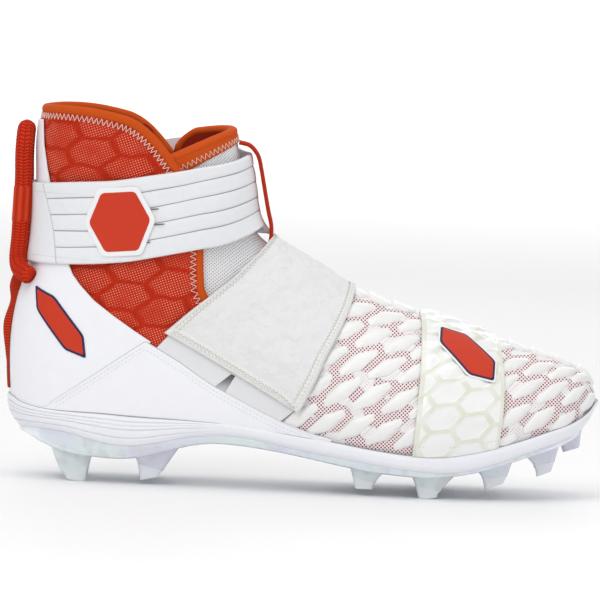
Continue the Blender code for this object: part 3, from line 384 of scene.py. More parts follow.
def from_flat(places):
    """Row and turn, on the outer side, of these places on the flat pattern, in mm."""
    flat = places.reshape(-1, 2)
    near = np.array([TREE.find((x, y, 0))[1] for x, y in flat])
    row, turn = FLAT_ROWS[near // 161], FLAT_TURNS[near % 161]
    for _ in range(3):
        here = to_flat(row, turn)
        by_row = (to_flat(row + 0.02, turn) - here) / 0.02
        by_turn = (here - to_flat(row, turn - 0.01)) / 0.01
        off = flat - here
        area = by_row[:, 0] * by_turn[:, 1] - by_row[:, 1] * by_turn[:, 0]
        area = np.where(np.abs(area) < 1e-3, 1e-3, area)
        row = row + np.clip((off[:, 0] * by_turn[:, 1] - off[:, 1] * by_turn[:, 0]) / area, -0.3, 0.3)
        turn = turn + np.clip((off[:, 1] * by_row[:, 0] - off[:, 0] * by_row[:, 1]) / area, -0.1, 0.1)
        row, turn = np.clip(row, 0.04, LAST_ROW), np.clip(turn, -PI, 0.0)
    return row.reshape(places.shape[:-1]), turn.reshape(places.shape[:-1])


def from_view(along_mm, up_mm):
    """Place on the flat pattern of a point of the side view, from the sole's heel end and the floor."""
    where = find(np.array([[along_mm, up_mm]]) * 0.001)
    return tuple(to_flat(where[:, 0], where[:, 1])[0])


def comb(flat, a, b, origin):
    """Distance from the nearest cell's middle, 0.5 on the border, in a honeycomb with steps a and b in mm."""
    at = (flat - np.array(origin)) @ (REGULAR @ np.linalg.inv(np.array([a, b]).T)).T
    half = np.array([0.5, SIN_60])
    reach = []
    for shift in (0.0, half):
        cell = np.abs((at - shift + half) % (2 * half) - half)
        reach.append(np.maximum(cell[..., 0], cell[..., 0] * 0.5 + cell[..., 1] * SIN_60))
    return np.minimum(reach[0], reach[1])


def eased(value, low, high):
    """A smooth step from 0 at low to 1 at high."""
    t = np.clip((value - low) / (high - low), 0, 1)
    return t * t * (3 - 2 * t)


def move_of_frame():
    """From the sole's own origin to the frame's, measured on the anchor, whose points are all known."""
    where = between(find(along_path(ANCHOR_LOW, 11)), find(along_path(ANCHOR_HIGH, 11)), 5)
    points = np.stack([last(where[..., 0], where[..., 1], out) for out in (LAID, LAID + OVERLAY)])
    mine = (points.min(axis=(0, 1, 2)) + points.max(axis=(0, 1, 2))) / 2
    return np.array(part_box("strap_anchor")).mean(axis=0) - mine


MOVE = move_of_frame()
CELL_MIDDLE = from_view(170.0, 52.5)


# Meshes


def piece_of(name, points, faces, looks, replaces=(), uv=None, groups=None):
    """A mesh in the shared frame that rides on the shoe. Looks are keys of LOOKS with spaces between them,
    and groups gives each face the number of its look."""
    mesh = bpy.data.meshes.new(name)
    mesh.from_pydata(np.asarray(points) + MOVE, [], faces)
    if uv is not None:
        corners = np.zeros(len(mesh.loops), np.int32)
        mesh.loops.foreach_get("vertex_index", corners)
        layer = mesh.uv_layers.new(name="UVMap")
        layer.data.foreach_set("uv", np.asarray(uv, float)[corners].astype(np.float32).ravel())
    for look in looks.split():
        mesh.materials.append(LOOKS[look])
    if groups is not None:
        mesh.polygons.foreach_set("material_index", np.asarray(groups, np.int32))
    mesh.polygons.foreach_set("use_smooth", np.full(len(mesh.polygons), True))
    mesh.update()
    piece = bpy.data.objects.new(name, mesh)
    bpy.context.scene.collection.objects.link(piece)
    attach(piece, "root")
    for node in replaces:
        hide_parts(node)
    return piece


def grid_faces(number, ring=False):
    """Four-sided faces between the numbers of a grid of points."""
    side = np.roll(number, -1, axis=1) if ring else number[:, 1:]
    base = number if ring else number[:, :-1]
    return np.stack([base[:-1], side[:-1], side[1:], base[1:]], -1).reshape(-1, 4)


def loop_faces(rows, count, closed=False):
    """Faces of a tube: rows of count points each, and back to the first row if it is closed."""
    number = np.arange(rows * count).reshape(rows, count)
    ahead = np.roll(number, -1, axis=0)
    faces = np.stack([number, ahead, np.roll(ahead, -1, axis=1), np.roll(number, -1, axis=1)], -1)
    return (faces if closed else faces[:-1]).reshape(-1, 4)


def border_walls(faces, deep):
    """Faces that join the free edges of a sheet to those of the sheet behind it, deep numbers on."""
    after = np.roll(faces, -1, axis=1)
    size = int(faces.max()) + 1
    ahead = (faces.astype(np.int64) * size + after).ravel()
    back = (after.astype(np.int64) * size + faces).ravel()
    free = ~np.isin(ahead, back) & (faces != after).ravel()
    start, end = faces.ravel()[free], after.ravel()[free]
    return np.stack([end, start, start + deep, end + deep], -1)


def shell(name, outer, inner, looks, slot, replaces=(), uv=None, ring=False, shut=None):
    """A closed sheet between two grids of points. The second look is that of the inner face. Rows that are
    shut end where they begin."""
    rows, cols = outer.shape[:2]
    deep = rows * cols
    number = np.arange(deep).reshape(rows, cols)
    if shut is not None:
        number[shut, -1] = number[shut, 0]
    face = grid_faces(number, ring)
    walls = border_walls(face, deep)
    points = np.concatenate([outer.reshape(-1, 3), inner.reshape(-1, 3)])
    faces = np.concatenate([face, face[:, ::-1] + deep, walls])
    groups = np.repeat((0, min(1, looks.count(" ")), 0), (len(face), len(face), len(walls)))
    if uv is not None:
        uv = np.concatenate([uv.reshape(-1, 2)] * 2)
    return piece_of(name, points, faces, looks, replaces, uv, groups)


def resampled(where, s, t):
    """A grid of rows and turns read at shares s of its rows and t of its columns."""
    by_row = smooth(np.linspace(0, 1, len(where)), where, s)
    across = smooth(np.linspace(0, 1, where.shape[1]), np.moveaxis(by_row, 1, 0), t)
    return np.moveaxis(across, 0, 1)


def shares(length_mm, step_mm, edges=True):
    """Shares along a length, closer together near its two ends."""
    count = max(3, int(length_mm / step_mm) + 1)
    even = np.linspace(0, 1, count)
    if not edges:
        return even
    near = np.array([0.0, 0.06, 0.18, 0.38, 0.7]) / length_mm
    inside = even[(even > near[-1] + 0.4 / length_mm) & (even < 1 - near[-1] - 0.4 / length_mm)]
    return np.concatenate([near, inside, 1 - near[::-1]])


def grid_size(where):
    """Length in mm of the middle row and middle column of a grid."""
    points = last(where[..., 0], where[..., 1]) * 1000
    lines = points[:, where.shape[1] // 2], points[where.shape[0] // 2]
    return tuple(np.linalg.norm(np.diff(each, axis=0), axis=1).sum() for each in lines)


def overlay(name, where, low, thick, looks, slot, replaces, step=1.3, roundness=0.45, relief=None, ring=False):
    """A layer laid on the upper over a grid, with rounded edges. Low is its inner face's distance from the
    last, relief adds mm to the outer face, and the UV map holds mm across and along it."""
    tall, wide = grid_size(where)
    s = shares(tall, step)
    t = shares(wide, step, not ring)
    if ring:
        t = t[:-1]
    grid = resampled(where, s, t)
    row, turn = grid[..., 0], grid[..., 1]
    down, over = np.meshgrid(s * tall, t * wide, indexing="ij")
    edge = np.minimum(down, tall - down)
    if not ring:
        edge = np.minimum(edge, np.minimum(over, wide - over))
    inside = low(row, turn) if callable(low) else np.full(row.shape, low)
    bevel = np.clip(edge / roundness, 0, 1)
    rise = thick * np.sqrt(1 - (1 - bevel) ** 2)
    if relief is not None:
        rise = rise + 0.001 * relief(down, over, edge, row, turn) * np.clip(edge / 0.4, 0, 1)
    rise = np.maximum(rise, 0.00004)
    outer, inner = last(row, turn, inside + rise), last(row, turn, inside)
    uv = np.stack([over, down], -1)
    return shell(name, outer, inner, looks, slot, replaces, uv, ring)


def ripple(u, v, size, seed, rough=3):
    """Soft uneven waves between about -1 and 1, the same on each run."""
    dice = np.random.default_rng(seed)
    total, weight = 0, 0
    for octave in range(rough):
        for _ in range(4):
            angle, phase = dice.uniform(0, 2 * PI, 2)
            reach = size / 2**octave * dice.uniform(0.8, 1.3)
            run = u * math.cos(angle) + v * math.sin(angle)
            total = total + 0.6**octave * np.sin(run * 2 * PI / reach + phase)
        weight += 2 * 0.6**octave
    return total / weight


def sweep(name, path, sides_of, look, replaces=(), closed=False, count=12):
    """A tube along a path. Sides_of gives, for angles round it, offsets (points, count, 3) from the path, and
    the UV map holds mm along it and the angle."""
    steps = len(path)
    angles = np.linspace(0, 2 * PI, count, endpoint=False)
    points = path[:, None] + sides_of(angles)
    faces = loop_faces(steps, count, closed).tolist()
    if not closed:
        faces += [tuple(range(count)), tuple(range(steps * count - 1, (steps - 1) * count - 1, -1))]
    uv = np.stack(np.meshgrid(gone_along(path) * 1000, angles, indexing="ij"), -1).reshape(-1, 2)
    return piece_of(name, points.reshape(-1, 3), faces, look, replaces, uv)


def frames_along(path, normal, closed=False):
    """Unit directions aside and up from a path that lies on a surface with these normals."""
    run = np.roll(path, -1, 0) - np.roll(path, 1, 0) if closed else np.gradient(path, axis=0)
    run /= np.linalg.norm(run, axis=1, keepdims=True) + 1e-12
    side = np.cross(run, normal)
    side /= np.linalg.norm(side, axis=1, keepdims=True) + 1e-12
    return side, np.cross(side, run)


def round_sides(side, lift, wide, tall):
    """The sides of a tube that is this far from its path aside and up."""
    def sides(angles):
        c, s = np.cos(angles)[None, :, None], np.sin(angles)[None, :, None]
        w = np.asarray(wide).reshape(-1, 1, 1)
        t = np.asarray(tall).reshape(-1, 1, 1)
        return side[:, None] * c * w + lift[:, None] * s * t
    return sides


def spaced(points, step):
    """A path's points at even steps along it, with any other columns carried along."""
    gone = gone_along(points[:, :3])
    count = max(2, int(round(gone[-1] / step)) + 1)
    at = np.linspace(0, gone[-1], count)
    return np.stack([np.interp(at, gone, column) for column in points.T], -1)


def stitches(name, centres, ways, normals, long, wide, tall, look):
    """Short threads lying on a surface: one small rounded bar for each centre."""
    rings = np.array([(-1.0, 0.25), (-0.8, 0.8), (0.0, 1.0), (0.8, 0.8), (1.0, 0.25)])
    angles = np.linspace(0, 2 * PI, 6, endpoint=False)
    ways = ways / (np.linalg.norm(ways, axis=1, keepdims=True) + 1e-12)
    side = np.cross(ways, normals)
    long = np.broadcast_to(long, len(centres))
    points = np.stack([
        centres[:, None] + ways[:, None] * (place * long / 2)[:, None, None]
        + side[:, None] * (np.cos(angles) * wide / 2 * share)[None, :, None]
        + normals[:, None] * (np.sin(angles) * tall / 2 * share)[None, :, None] for place, share in rings], 1)
    base = grid_faces(np.arange(30).reshape(5, 6), True)
    faces = (base[None] + (np.arange(len(centres)) * 30)[:, None, None]).reshape(-1, 4)
    return piece_of(name, points.reshape(-1, 3), faces, look)


def along_line(row_turn, out, step):
    """Points at even steps along a line of rows and turns, and their own rows and turns after three columns."""
    out = np.broadcast_to(np.asarray(out, float), len(row_turn))
    points = last(row_turn[:, 0], row_turn[:, 1], out)
    path = spaced(np.concatenate([points, row_turn, out[:, None]], 1), step)
    return last(path[:, 3], path[:, 4], path[:, 5]), path


def stitch_row(name, row_turn, out, step, look, share=0.62, wide=0.00042, tall=0.0004):
    """A row of stitches along a line of rows and turns."""
    centre, path = along_line(row_turn, out, step)
    normal = outward(path[:, 3], path[:, 4])
    return stitches(name, centre, np.gradient(centre, axis=0), normal, step * share, wide, tall, look)


def zigzag(name, row_turn, out, period, low, high, look, radius=0.00026):
    """A zigzag thread beside a line of rows and turns, from low to high away from it."""
    centre, path = along_line(row_turn, out, period / 2)
    normal = outward(path[:, 3], path[:, 4])
    side, _ = frames_along(centre, normal)
    swing = np.where(np.arange(len(centre)) % 2 == 0, low, high)
    corners = centre + side * swing[:, None]
    start, end = corners[:-1], corners[1:]
    long = np.linalg.norm(end - start, axis=1) * 1.04
    return stitches(name, (start + end) / 2, end - start, (normal[:-1] + normal[1:]) / 2, long,
                    2 * radius, 2 * radius, look)


class Plates:
    """Raised plates gathered into one mesh."""

    def __init__(self):
        self.points, self.faces, self.uv = [], [], []
        self.count = 0

    def add(self, sheet, uv, flip=False):
        """A plate of rings, from its foot to its middle, where the last ring is one point."""
        rings, count = sheet.shape[0] - 1, sheet.shape[1]
        tip = rings * count
        faces = loop_faces(rings, count)[:, [0, 3, 2, 1]].tolist()
        faces += [(tip - count + k, tip - count + (k + 1) % count, tip) for k in range(count)]
        self.faces += [tuple(self.count + k for k in (face[::-1] if flip else face)) for face in faces]
        for kept, grid in ((self.points, sheet), (self.uv, uv)):
            kept += [grid[:-1].reshape(-1, grid.shape[-1]), grid[-1:, 0]]
        self.count += tip + 1

    def piece(self, name, look):
        points, uv = np.concatenate(self.points), np.concatenate(self.uv)
        return piece_of(name, points, self.faces, look, (), uv)


def rings_of(outline, centre, rings):
    """Places and heights of the rings of a plate, each given as a share of its outline and a height."""
    rings = np.array(rings)
    return centre + outline[None] * rings[:, 0, None, None], rings[:, 1, None]


# Materials


class Look:
    """A material and short calls that add nodes to it."""

    def __init__(self, name, colour, rough, **values):
        self.material = bpy.data.materials.new(name)
        self.material.use_nodes = True
        self.tree = self.material.node_tree
        self.shader = self.tree.nodes["Principled BSDF"]
        self.shader.inputs["Base Color"].default_value = (*colour, 1)
        self.shader.inputs["Roughness"].default_value = rough
        for socket, value in values.items():
            self.shader.inputs[socket.replace("_", " ")].default_value = value
        self._uv = self._place = None

    def node(self, kind, *inputs, **settings):
        node = self.tree.nodes.new("ShaderNode" + kind)
        for key, value in settings.items():
            setattr(node, key, value)
        for number, value in enumerate(inputs):
            self.plug(node.inputs[number], value)
        return node

    def plug(self, socket, value):
        if value is None:
            return
        if isinstance(value, bpy.types.NodeSocket):
            self.tree.links.new(value, socket)
        else:
            socket.default_value = value

    def math(self, operation, *inputs):
        return self.node("Math", *inputs, operation=operation).outputs[0]

    def vector(self, operation, *inputs):
        node = self.node("VectorMath", *inputs, operation=operation)
        return node.outputs["Value" if operation in ("DOT_PRODUCT", "LENGTH") else "Vector"]

    @property
    def uv(self):
        if self._uv is None:
            self._uv = self.node("UVMap", uv_map="UVMap").outputs[0]
        return self._uv

    @property
    def place(self):
        """Place on the object, in mm."""
        if self._place is None:
            self._place = self.vector("SCALE", self.node("TexCoord").outputs["Object"])
            self._place.node.inputs["Scale"].default_value = 1000
        return self._place

    def across(self, row, offset=0.0, where=None):
        """One number from u and v, or from another place: a share of each, plus an offset."""
        where = self.uv if where is None else where
        return self.math("ADD", self.vector("DOT_PRODUCT", where, (row[0], row[1], 0)), offset)

    def step(self, value, low, high, smooth_it=True):
        """From 0 at low to 1 at high."""
        node = self.node("MapRange", value, low, high, 0.0, 1.0)
        node.interpolation_type = "SMOOTHSTEP" if smooth_it else "LINEAR"
        return node.outputs[0]

    def mix(self, share, first, second):
        """The first colour, turning into the second as share goes from 0 to 1."""
        node = self.node("Mix", data_type="RGBA")
        for number, value in ((0, share), (6, first), (7, second)):
            if isinstance(value, tuple) and len(value) == 3:
                value = (*value, 1)
            self.plug(node.inputs[number], value)
        return node.outputs[2]

    def noise(self, size_mm, detail=3.0, rough=0.55, output="Fac"):
        node = self.node("TexNoise", self.place)
        for socket, value in (("Scale", 1 / size_mm), ("Detail", detail), ("Roughness", rough)):
            node.inputs[socket].default_value = value
        return node.outputs[output]

    def dots(self, first, second, radius, soft, where=None):
        """1 on the dots of a lattice, where first and second turn u and v into steps of the lattice."""
        joined = self.node("CombineXYZ", *(self.across(way, 0.0, where) for way in (first, second)))
        near = self.vector("SUBTRACT", self.vector("FRACTION", joined.outputs[0]), (0.5, 0.5, 0))
        return self.step(self.vector("LENGTH", near), radius + soft, radius - soft)

    def honeycomb(self, a, b, origin, where=None):
        """As comb() gives, on u and v or on another place."""
        turned = REGULAR @ np.linalg.inv(np.array([a, b]).T)
        off = -turned @ np.array(origin)
        joined = self.node("CombineXYZ", *(self.across(turned[k], float(off[k]), where) for k in (0, 1)))
        reach = []
        half, back = (0.5, SIN_60, 0.5), (-0.5, -SIN_60, -0.5)
        for shift in ((0.0, 0.0, 0.0), half):
            cell = self.vector("WRAP", self.vector("SUBTRACT", joined.outputs[0], shift), half, back)
            flat = self.vector("ABSOLUTE", cell)
            reach.append(self.math("MAXIMUM", self.vector("DOT_PRODUCT", flat, (0.5, SIN_60, 0)),
                                   self.vector("DOT_PRODUCT", flat, (1, 0, 0))))
        return self.math("MINIMUM", *reach)

    def colour(self, value):
        self.plug(self.shader.inputs["Base Color"], value)

    def bump(self, *layers):
        """Layers of (height, depth in mm), each a bump on the one before."""
        normal = None
        for height, depth in layers:
            node = self.node("Bump")
            node.inputs["Strength"].default_value = 1.0
            node.inputs["Distance"].default_value = depth * 0.001
            self.plug(node.inputs["Height"], height)
            if normal is not None:
                self.plug(node.inputs["Normal"], normal)
            normal = node.outputs[0]
        self.plug(self.shader.inputs["Normal"], normal)


def upper_look():
    """Mesh with pale dots in large soft honeycomb cells, on darker cloth between them."""
    look = Look("ankle_mesh", (0.60, 0.033, 0.008), 0.80, Specular_IOR_Level=0.12)
    drift = look.vector("SUBTRACT", look.noise(13.0, 1.0, 0.5, "Color"), (0.5, 0.5, 0.5))
    soft = look.vector("ADD", look.uv, look.vector("MULTIPLY", drift, (5.0, 5.0, 0)))
    cell = look.honeycomb((20.0, -7.3), (5.0, 14.3), from_view(58.0, 95.0), soft)
    dot = look.dots((0.70, 0.26), (-0.28, 0.76), 0.21, 0.09)
    strength = look.step(cell, 0.47, 0.38)
    patch = look.step(look.noise(9.0, 1.0), 0.30, 0.62)
    strong = look.math("MULTIPLY", strength, look.math("MULTIPLY_ADD", patch, 0.50, 0.40))
    shown = look.math("MULTIPLY", dot, strong)
    ground = look.mix(strength, (0.36, 0.015, 0.004), (0.47, 0.022, 0.006))
    cloth = look.mix(look.noise(1.6), ground, (0.57, 0.033, 0.008))
    look.colour(look.mix(shown, cloth, (0.90, 0.42, 0.29)))
    look.bump((look.step(cell, 0.50, 0.30), 0.5), (look.noise(0.35, 2.0), 0.10),
              (look.math("MULTIPLY", dot, strength), -0.10))
    return look.material


def knit_look(name, dark, light, size):
    look = Look(name, light, 0.85, Specular_IOR_Level=0.15)
    turn = 2 * PI / size
    look.colour(look.mix(look.noise(size * 2.5), dark, light))
    knit = look.math("MULTIPLY", *(look.math("SINE", look.across(way)) for way in ((turn, 0), (0, turn))))
    look.bump((knit, 0.08), (look.noise(size * 0.6, 2.0), 0.08))
    return look.material


def plain_cloth(name, dark, light, size, rough=0.78, depth=0.08):
    """A close weave with no direction, for rolled edges and threads."""
    look = Look(name, light, rough, Specular_IOR_Level=0.15)
    look.colour(look.mix(look.noise(size * 3), dark, light))
    look.bump((look.noise(size, 3.0, 0.65), depth))
    return look.material


def synthetic_look(name, colour, rough=0.42, grain=0.03):
    look = Look(name, colour, rough, Specular_IOR_Level=0.3, Coat_Weight=0.08, Coat_Roughness=0.35)
    dull = tuple(c * 0.955 for c in colour)
    look.colour(look.mix(look.noise(7.0, 2.0), dull, colour))
    look.bump((look.noise(0.9, 4.0, 0.6), grain * 2), (look.noise(0.22, 2.0), grain))
    return look.material


def forefoot_look():
    """A white film with dark dots along most of the lines between the scales."""
    look = Look("forefoot_mesh", (0.86, 0.80, 0.80), 0.55, Specular_IOR_Level=0.3)
    cell = look.honeycomb(CELL_A, CELL_B, CELL_MIDDLE)
    # The dots are even both on the flat pattern and from the side.
    both = look.node("SeparateXYZ", look.place)
    from_side = look.node("CombineXYZ", both.outputs[0], both.outputs[2], 0.0).outputs[0]
    spread = look.vector("ADD", look.vector("MULTIPLY", look.uv, (0.15, 0.15, 0)),
                         look.vector("MULTIPLY", from_side, (0.85, 0.85, 0)))
    dot = look.dots((0.53, 0.53), (-0.53, 0.53), 0.31, 0.06, spread)
    some = look.step(look.noise(10.5, 0.5), 0.395, 0.44)
    window = look.math("MULTIPLY", look.step(cell, 0.335, 0.365, False), some)
    window = look.math("MAXIMUM", window, look.math("MULTIPLY", look.step(cell, 0.40, 0.46), 0.25))
    film = look.mix(look.noise(14.0, 1.0), (0.84, 0.82, 0.81), (0.87, 0.865, 0.855))
    cloth = look.mix(look.noise(9.0, 1.0), (0.86, 0.77, 0.77), (0.88, 0.83, 0.83))
    shown = look.math("MULTIPLY", dot, window)
    look.colour(look.mix(shown, look.mix(window, film, cloth), (0.26, 0.006, 0.018)))
    look.bump((look.step(window, 0.2, 0.8), -0.35), (shown, -0.12), (look.noise(0.4, 2.0), 0.04))
    return look.material


def scale_look():
    look = Look("forefoot_scale", (0.84, 0.84, 0.83), 0.36, Coat_Weight=0.25, Coat_Roughness=0.25,
                Subsurface_Weight=0.08, Subsurface_Scale=0.002)
    look.colour(look.mix(look.noise(16.0, 1.0), (0.83, 0.82, 0.81), (0.87, 0.87, 0.86)))
    look.bump((look.noise(1.4, 3.0), 0.06), (look.noise(0.25, 2.0), 0.012))
    return look.material


# The ankle strap's grooves: share of its width, at its end beside the badge and at the front.
GROOVES = ((0.198, 0.235), (0.400, 0.420), (0.598, 0.635), (0.798, 0.845))


def strap_look(tall, wide, seam):
    """The ribbed cloth, with painted shade in its grooves and along the tab's fold: u runs round the ankle and
    v up the strap, both in mm.
    """
    look = Look("ankle_strap_cloth_painted_shade", (0.80, 0.81, 0.83), 0.66, Sheen_Weight=0.15)
    both = look.node("SeparateXYZ", look.uv)
    side = look.math("PINGPONG", both.outputs[0], wide / 2)
    share = look.node("MapRange", side, 0.09 * wide, 0.47 * wide, 0.0, 1.0).outputs[0]
    up = look.math("MULTIPLY", both.outputs[1], 1 / tall)
    # Painted shade: dark lines in the grooves, and along the fold beside the tab, darken the cloth's colour.
    lines = 0.0
    for start, end in GROOVES:
        place = look.math("MULTIPLY_ADD", share, end - start, start)
        off = look.math("MULTIPLY", look.math("ABSOLUTE", look.math("SUBTRACT", up, place)), tall)
        lines = look.math("MAXIMUM", lines, look.step(off, 0.42, 0.12))
    tab = look.math("MULTIPLY_ADD", both.outputs[1], (seam[1] - seam[0]) / tall, seam[0])
    lines = look.math("MULTIPLY", lines, look.step(look.math("SUBTRACT", side, tab), 0.0, 0.5))
    fold = look.step(look.math("ABSOLUTE", look.math("SUBTRACT", side, tab)), 0.45, 0.10)
    lines = look.math("MAXIMUM", lines, look.math("MULTIPLY", fold, 0.6))
    cloth = look.mix(look.noise(5.0, 3.0), (0.775, 0.785, 0.81), (0.83, 0.84, 0.865))
    look.colour(look.mix(lines, cloth, (0.30, 0.31, 0.33)))
    weave = look.math("MULTIPLY", *(look.math("SINE", look.across(way)) for way in ((7.0, 0), (0, 7.0))))
    look.bump((weave, 0.03), (look.noise(0.5, 3.0), 0.05), (look.noise(7.0, 2.0), 0.35))
    return look.material


def felt_look():
    look = Look("midfoot_felt", (0.76, 0.765, 0.77), 0.78, Sheen_Weight=0.25, Sheen_Roughness=0.5)
    look.colour(look.mix(look.noise(6.0, 3.0), (0.72, 0.722, 0.728), (0.79, 0.792, 0.80)))
    look.bump((look.noise(10.0, 3.0, 0.55), 2.2), (look.noise(3.0, 3.0), 0.30), (look.noise(0.3, 3.0), 0.06))
    return look.material


def border_look():
    """The stitched border of the midfoot strap."""
    look = Look("strap_border", (0.80, 0.80, 0.78), 0.66, Sheen_Weight=0.2)
    fine = look.noise(0.7, 3.0, 0.7)
    look.colour(look.mix(look.step(fine, 0.30, 0.60), (0.70, 0.70, 0.67), (0.83, 0.83, 0.81)))
    look.bump((fine, 0.22), (look.noise(0.25, 2.0), 0.08))
    return look.material


def band_look(tall):
    """A clear film over white cells: the band's edges and the lines between the cells are cream."""
    look = Look("band_film", (0.82, 0.82, 0.80), 0.22, Coat_Weight=0.6, Coat_Roughness=0.10)
    cell = look.honeycomb((14.8, -4.0), (2.2, 13.0), from_view(233.0, 24.5))
    # Its own layer's places are in the second UV map, since the first holds the flat pattern.
    up = look.node("SeparateXYZ", look.node("UVMap", uv_map="Laid").outputs[0]).outputs[1]
    edge = look.math("MINIMUM", up, look.math("SUBTRACT", tall, up))
    line_here = look.math("MAXIMUM", look.step(cell, 0.415, 0.435), look.step(edge, 2.3, 2.1))
    cream = look.mix(look.noise(6.0, 1.0), (0.68, 0.695, 0.56), (0.79, 0.80, 0.70))
    white = look.mix(look.noise(9.0, 2.0), (0.83, 0.84, 0.82), (0.89, 0.895, 0.885))
    patch = look.step(look.noise(12.0, 1.0), 0.35, 0.6)
    shade = look.math("MULTIPLY", line_here, look.math("MULTIPLY_ADD", patch, 0.5, 0.5))
    look.colour(look.mix(shade, white, cream))
    look.bump((look.step(cell, 0.44, 0.34), 0.22), (look.noise(1.5, 3.0), 0.05))
    return look.material


def tongue_look():
    look = Look("tongue_mesh", (0.84, 0.85, 0.87), 0.66, Sheen_Weight=0.15)
    # The dark grey dots are the mesh's holes, coloured as the painted shade seen in them.
    dot = look.dots((0.52, 0.60), (-0.52, 0.60), 0.24, 0.10)
    look.colour(look.mix(dot, (0.93, 0.935, 0.95), (0.46, 0.46, 0.50)))
    look.bump((dot, -0.30), (look.noise(0.4, 2.0), 0.06))
    return look.material


def slit_shade_look():
    """Painted shade for the slits: dark in the anchor's slit where it goes under the strap, pale at its foot.
    """
    look = Look("slit_shade_grey", (0.30, 0.30, 0.31), 0.6, Specular_IOR_Level=0.2)
    up = look.math("SUBTRACT", look.node("SeparateXYZ", look.place).outputs[2], 1000 * float(MOVE[2]))
    look.colour(look.mix(look.step(up, 49.5, 57.0), (0.56, 0.56, 0.57), (0.12, 0.12, 0.12)))
    look.bump((look.noise(0.8, 2.0), 0.06))
    return look.material


def foam_look():
    look = Look("midsole_foam", (0.84, 0.85, 0.89), 0.48, Subsurface_Weight=0.06, Subsurface_Scale=0.002)
    look.colour(look.mix(look.noise(11.0, 2.0), (0.82, 0.83, 0.88), (0.88, 0.885, 0.93)))
    look.bump((look.noise(0.5, 3.0), 0.03), (look.noise(3.0, 2.0), 0.04))
    return look.material


def plate_look(name, rough, through, tint):
    """Clear moulded plastic that shines lilac, blue and pale green, with painted dark reflections."""
    look = Look(name, (0.85, 0.87, 0.92), rough, IOR=1.42, Coat_Weight=0.5, Coat_Roughness=0.06,
                Transmission_Weight=through)
    slow = look.noise(24.0, 1.0)
    first = look.mix(look.step(slow, 0.36, 0.50), (0.80, 0.80, 0.95), (0.84, 0.90, 0.99))
    second = look.mix(look.step(slow, 0.50, 0.66), first, (0.84, 0.95, 0.95))
    clear = look.mix(look.step(look.noise(7.0, 2.0), 0.45, 0.75), second, (0.91, 0.91, 0.93))
    # Painted reflection: soft darker grey-blue streaks in the clear plastic.
    painted_dark_reflection = look.step(look.noise(7.0, 1.0), 0.46, 0.70)
    clear = look.mix(look.math("MULTIPLY", painted_dark_reflection, 0.40), clear, (0.58, 0.61, 0.68))
    look.colour(look.mix(tint, (0.82, 0.84, 0.87), clear))
    look.bump((look.noise(3.0, 2.0), 0.08))
    return look.material


BRAID = 1.55  # mm of cord to one stitch


def cord_look():
    """Braided cord: u runs along it in mm and v round it in radians, and its stitches form chevrons."""
    look = Look("braided_cord", (0.60, 0.050, 0.012), 0.75, Specular_IOR_Level=0.15)
    both = look.node("SeparateXYZ", look.uv)
    column = look.math("MULTIPLY", both.outputs[1], 10 / (2 * PI))
    slant = look.math("PINGPONG", column, 1.0)
    slanted = look.math("MULTIPLY_ADD", both.outputs[0], 2 * PI / BRAID, look.math("MULTIPLY", slant, 3.6))
    stitch = look.math("SINE", slanted)
    split = look.math("ABSOLUTE", look.math("SUBTRACT", look.math("FRACT", column), 0.5))
    lump = look.math("MULTIPLY", look.math("MULTIPLY_ADD", stitch, 0.5, 0.5), look.step(split, 0.5, 0.36))
    look.colour(look.mix(look.step(lump, 0.0, 0.70), (0.36, 0.012, 0.002), (0.66, 0.036, 0.005)))
    look.bump((lump, 0.35), (look.noise(0.3, 2.0), 0.06))
    return look.material


def ribbed_look(name, dark, light, pitch, way):
    """Woven tape with fine ribs: way 0 puts them across the length, 1 along it."""
    look = Look(name, light, 0.80, Specular_IOR_Level=0.15)
    rib = look.math("SINE", look.across((2 * PI / pitch, 0) if way == 0 else (0, 2 * PI / pitch)))
    look.colour(look.mix(look.step(rib, -1.0, 0.9), dark, light))
    look.bump((rib, 0.12), (look.noise(0.35, 3.0), 0.10))
    return look.material


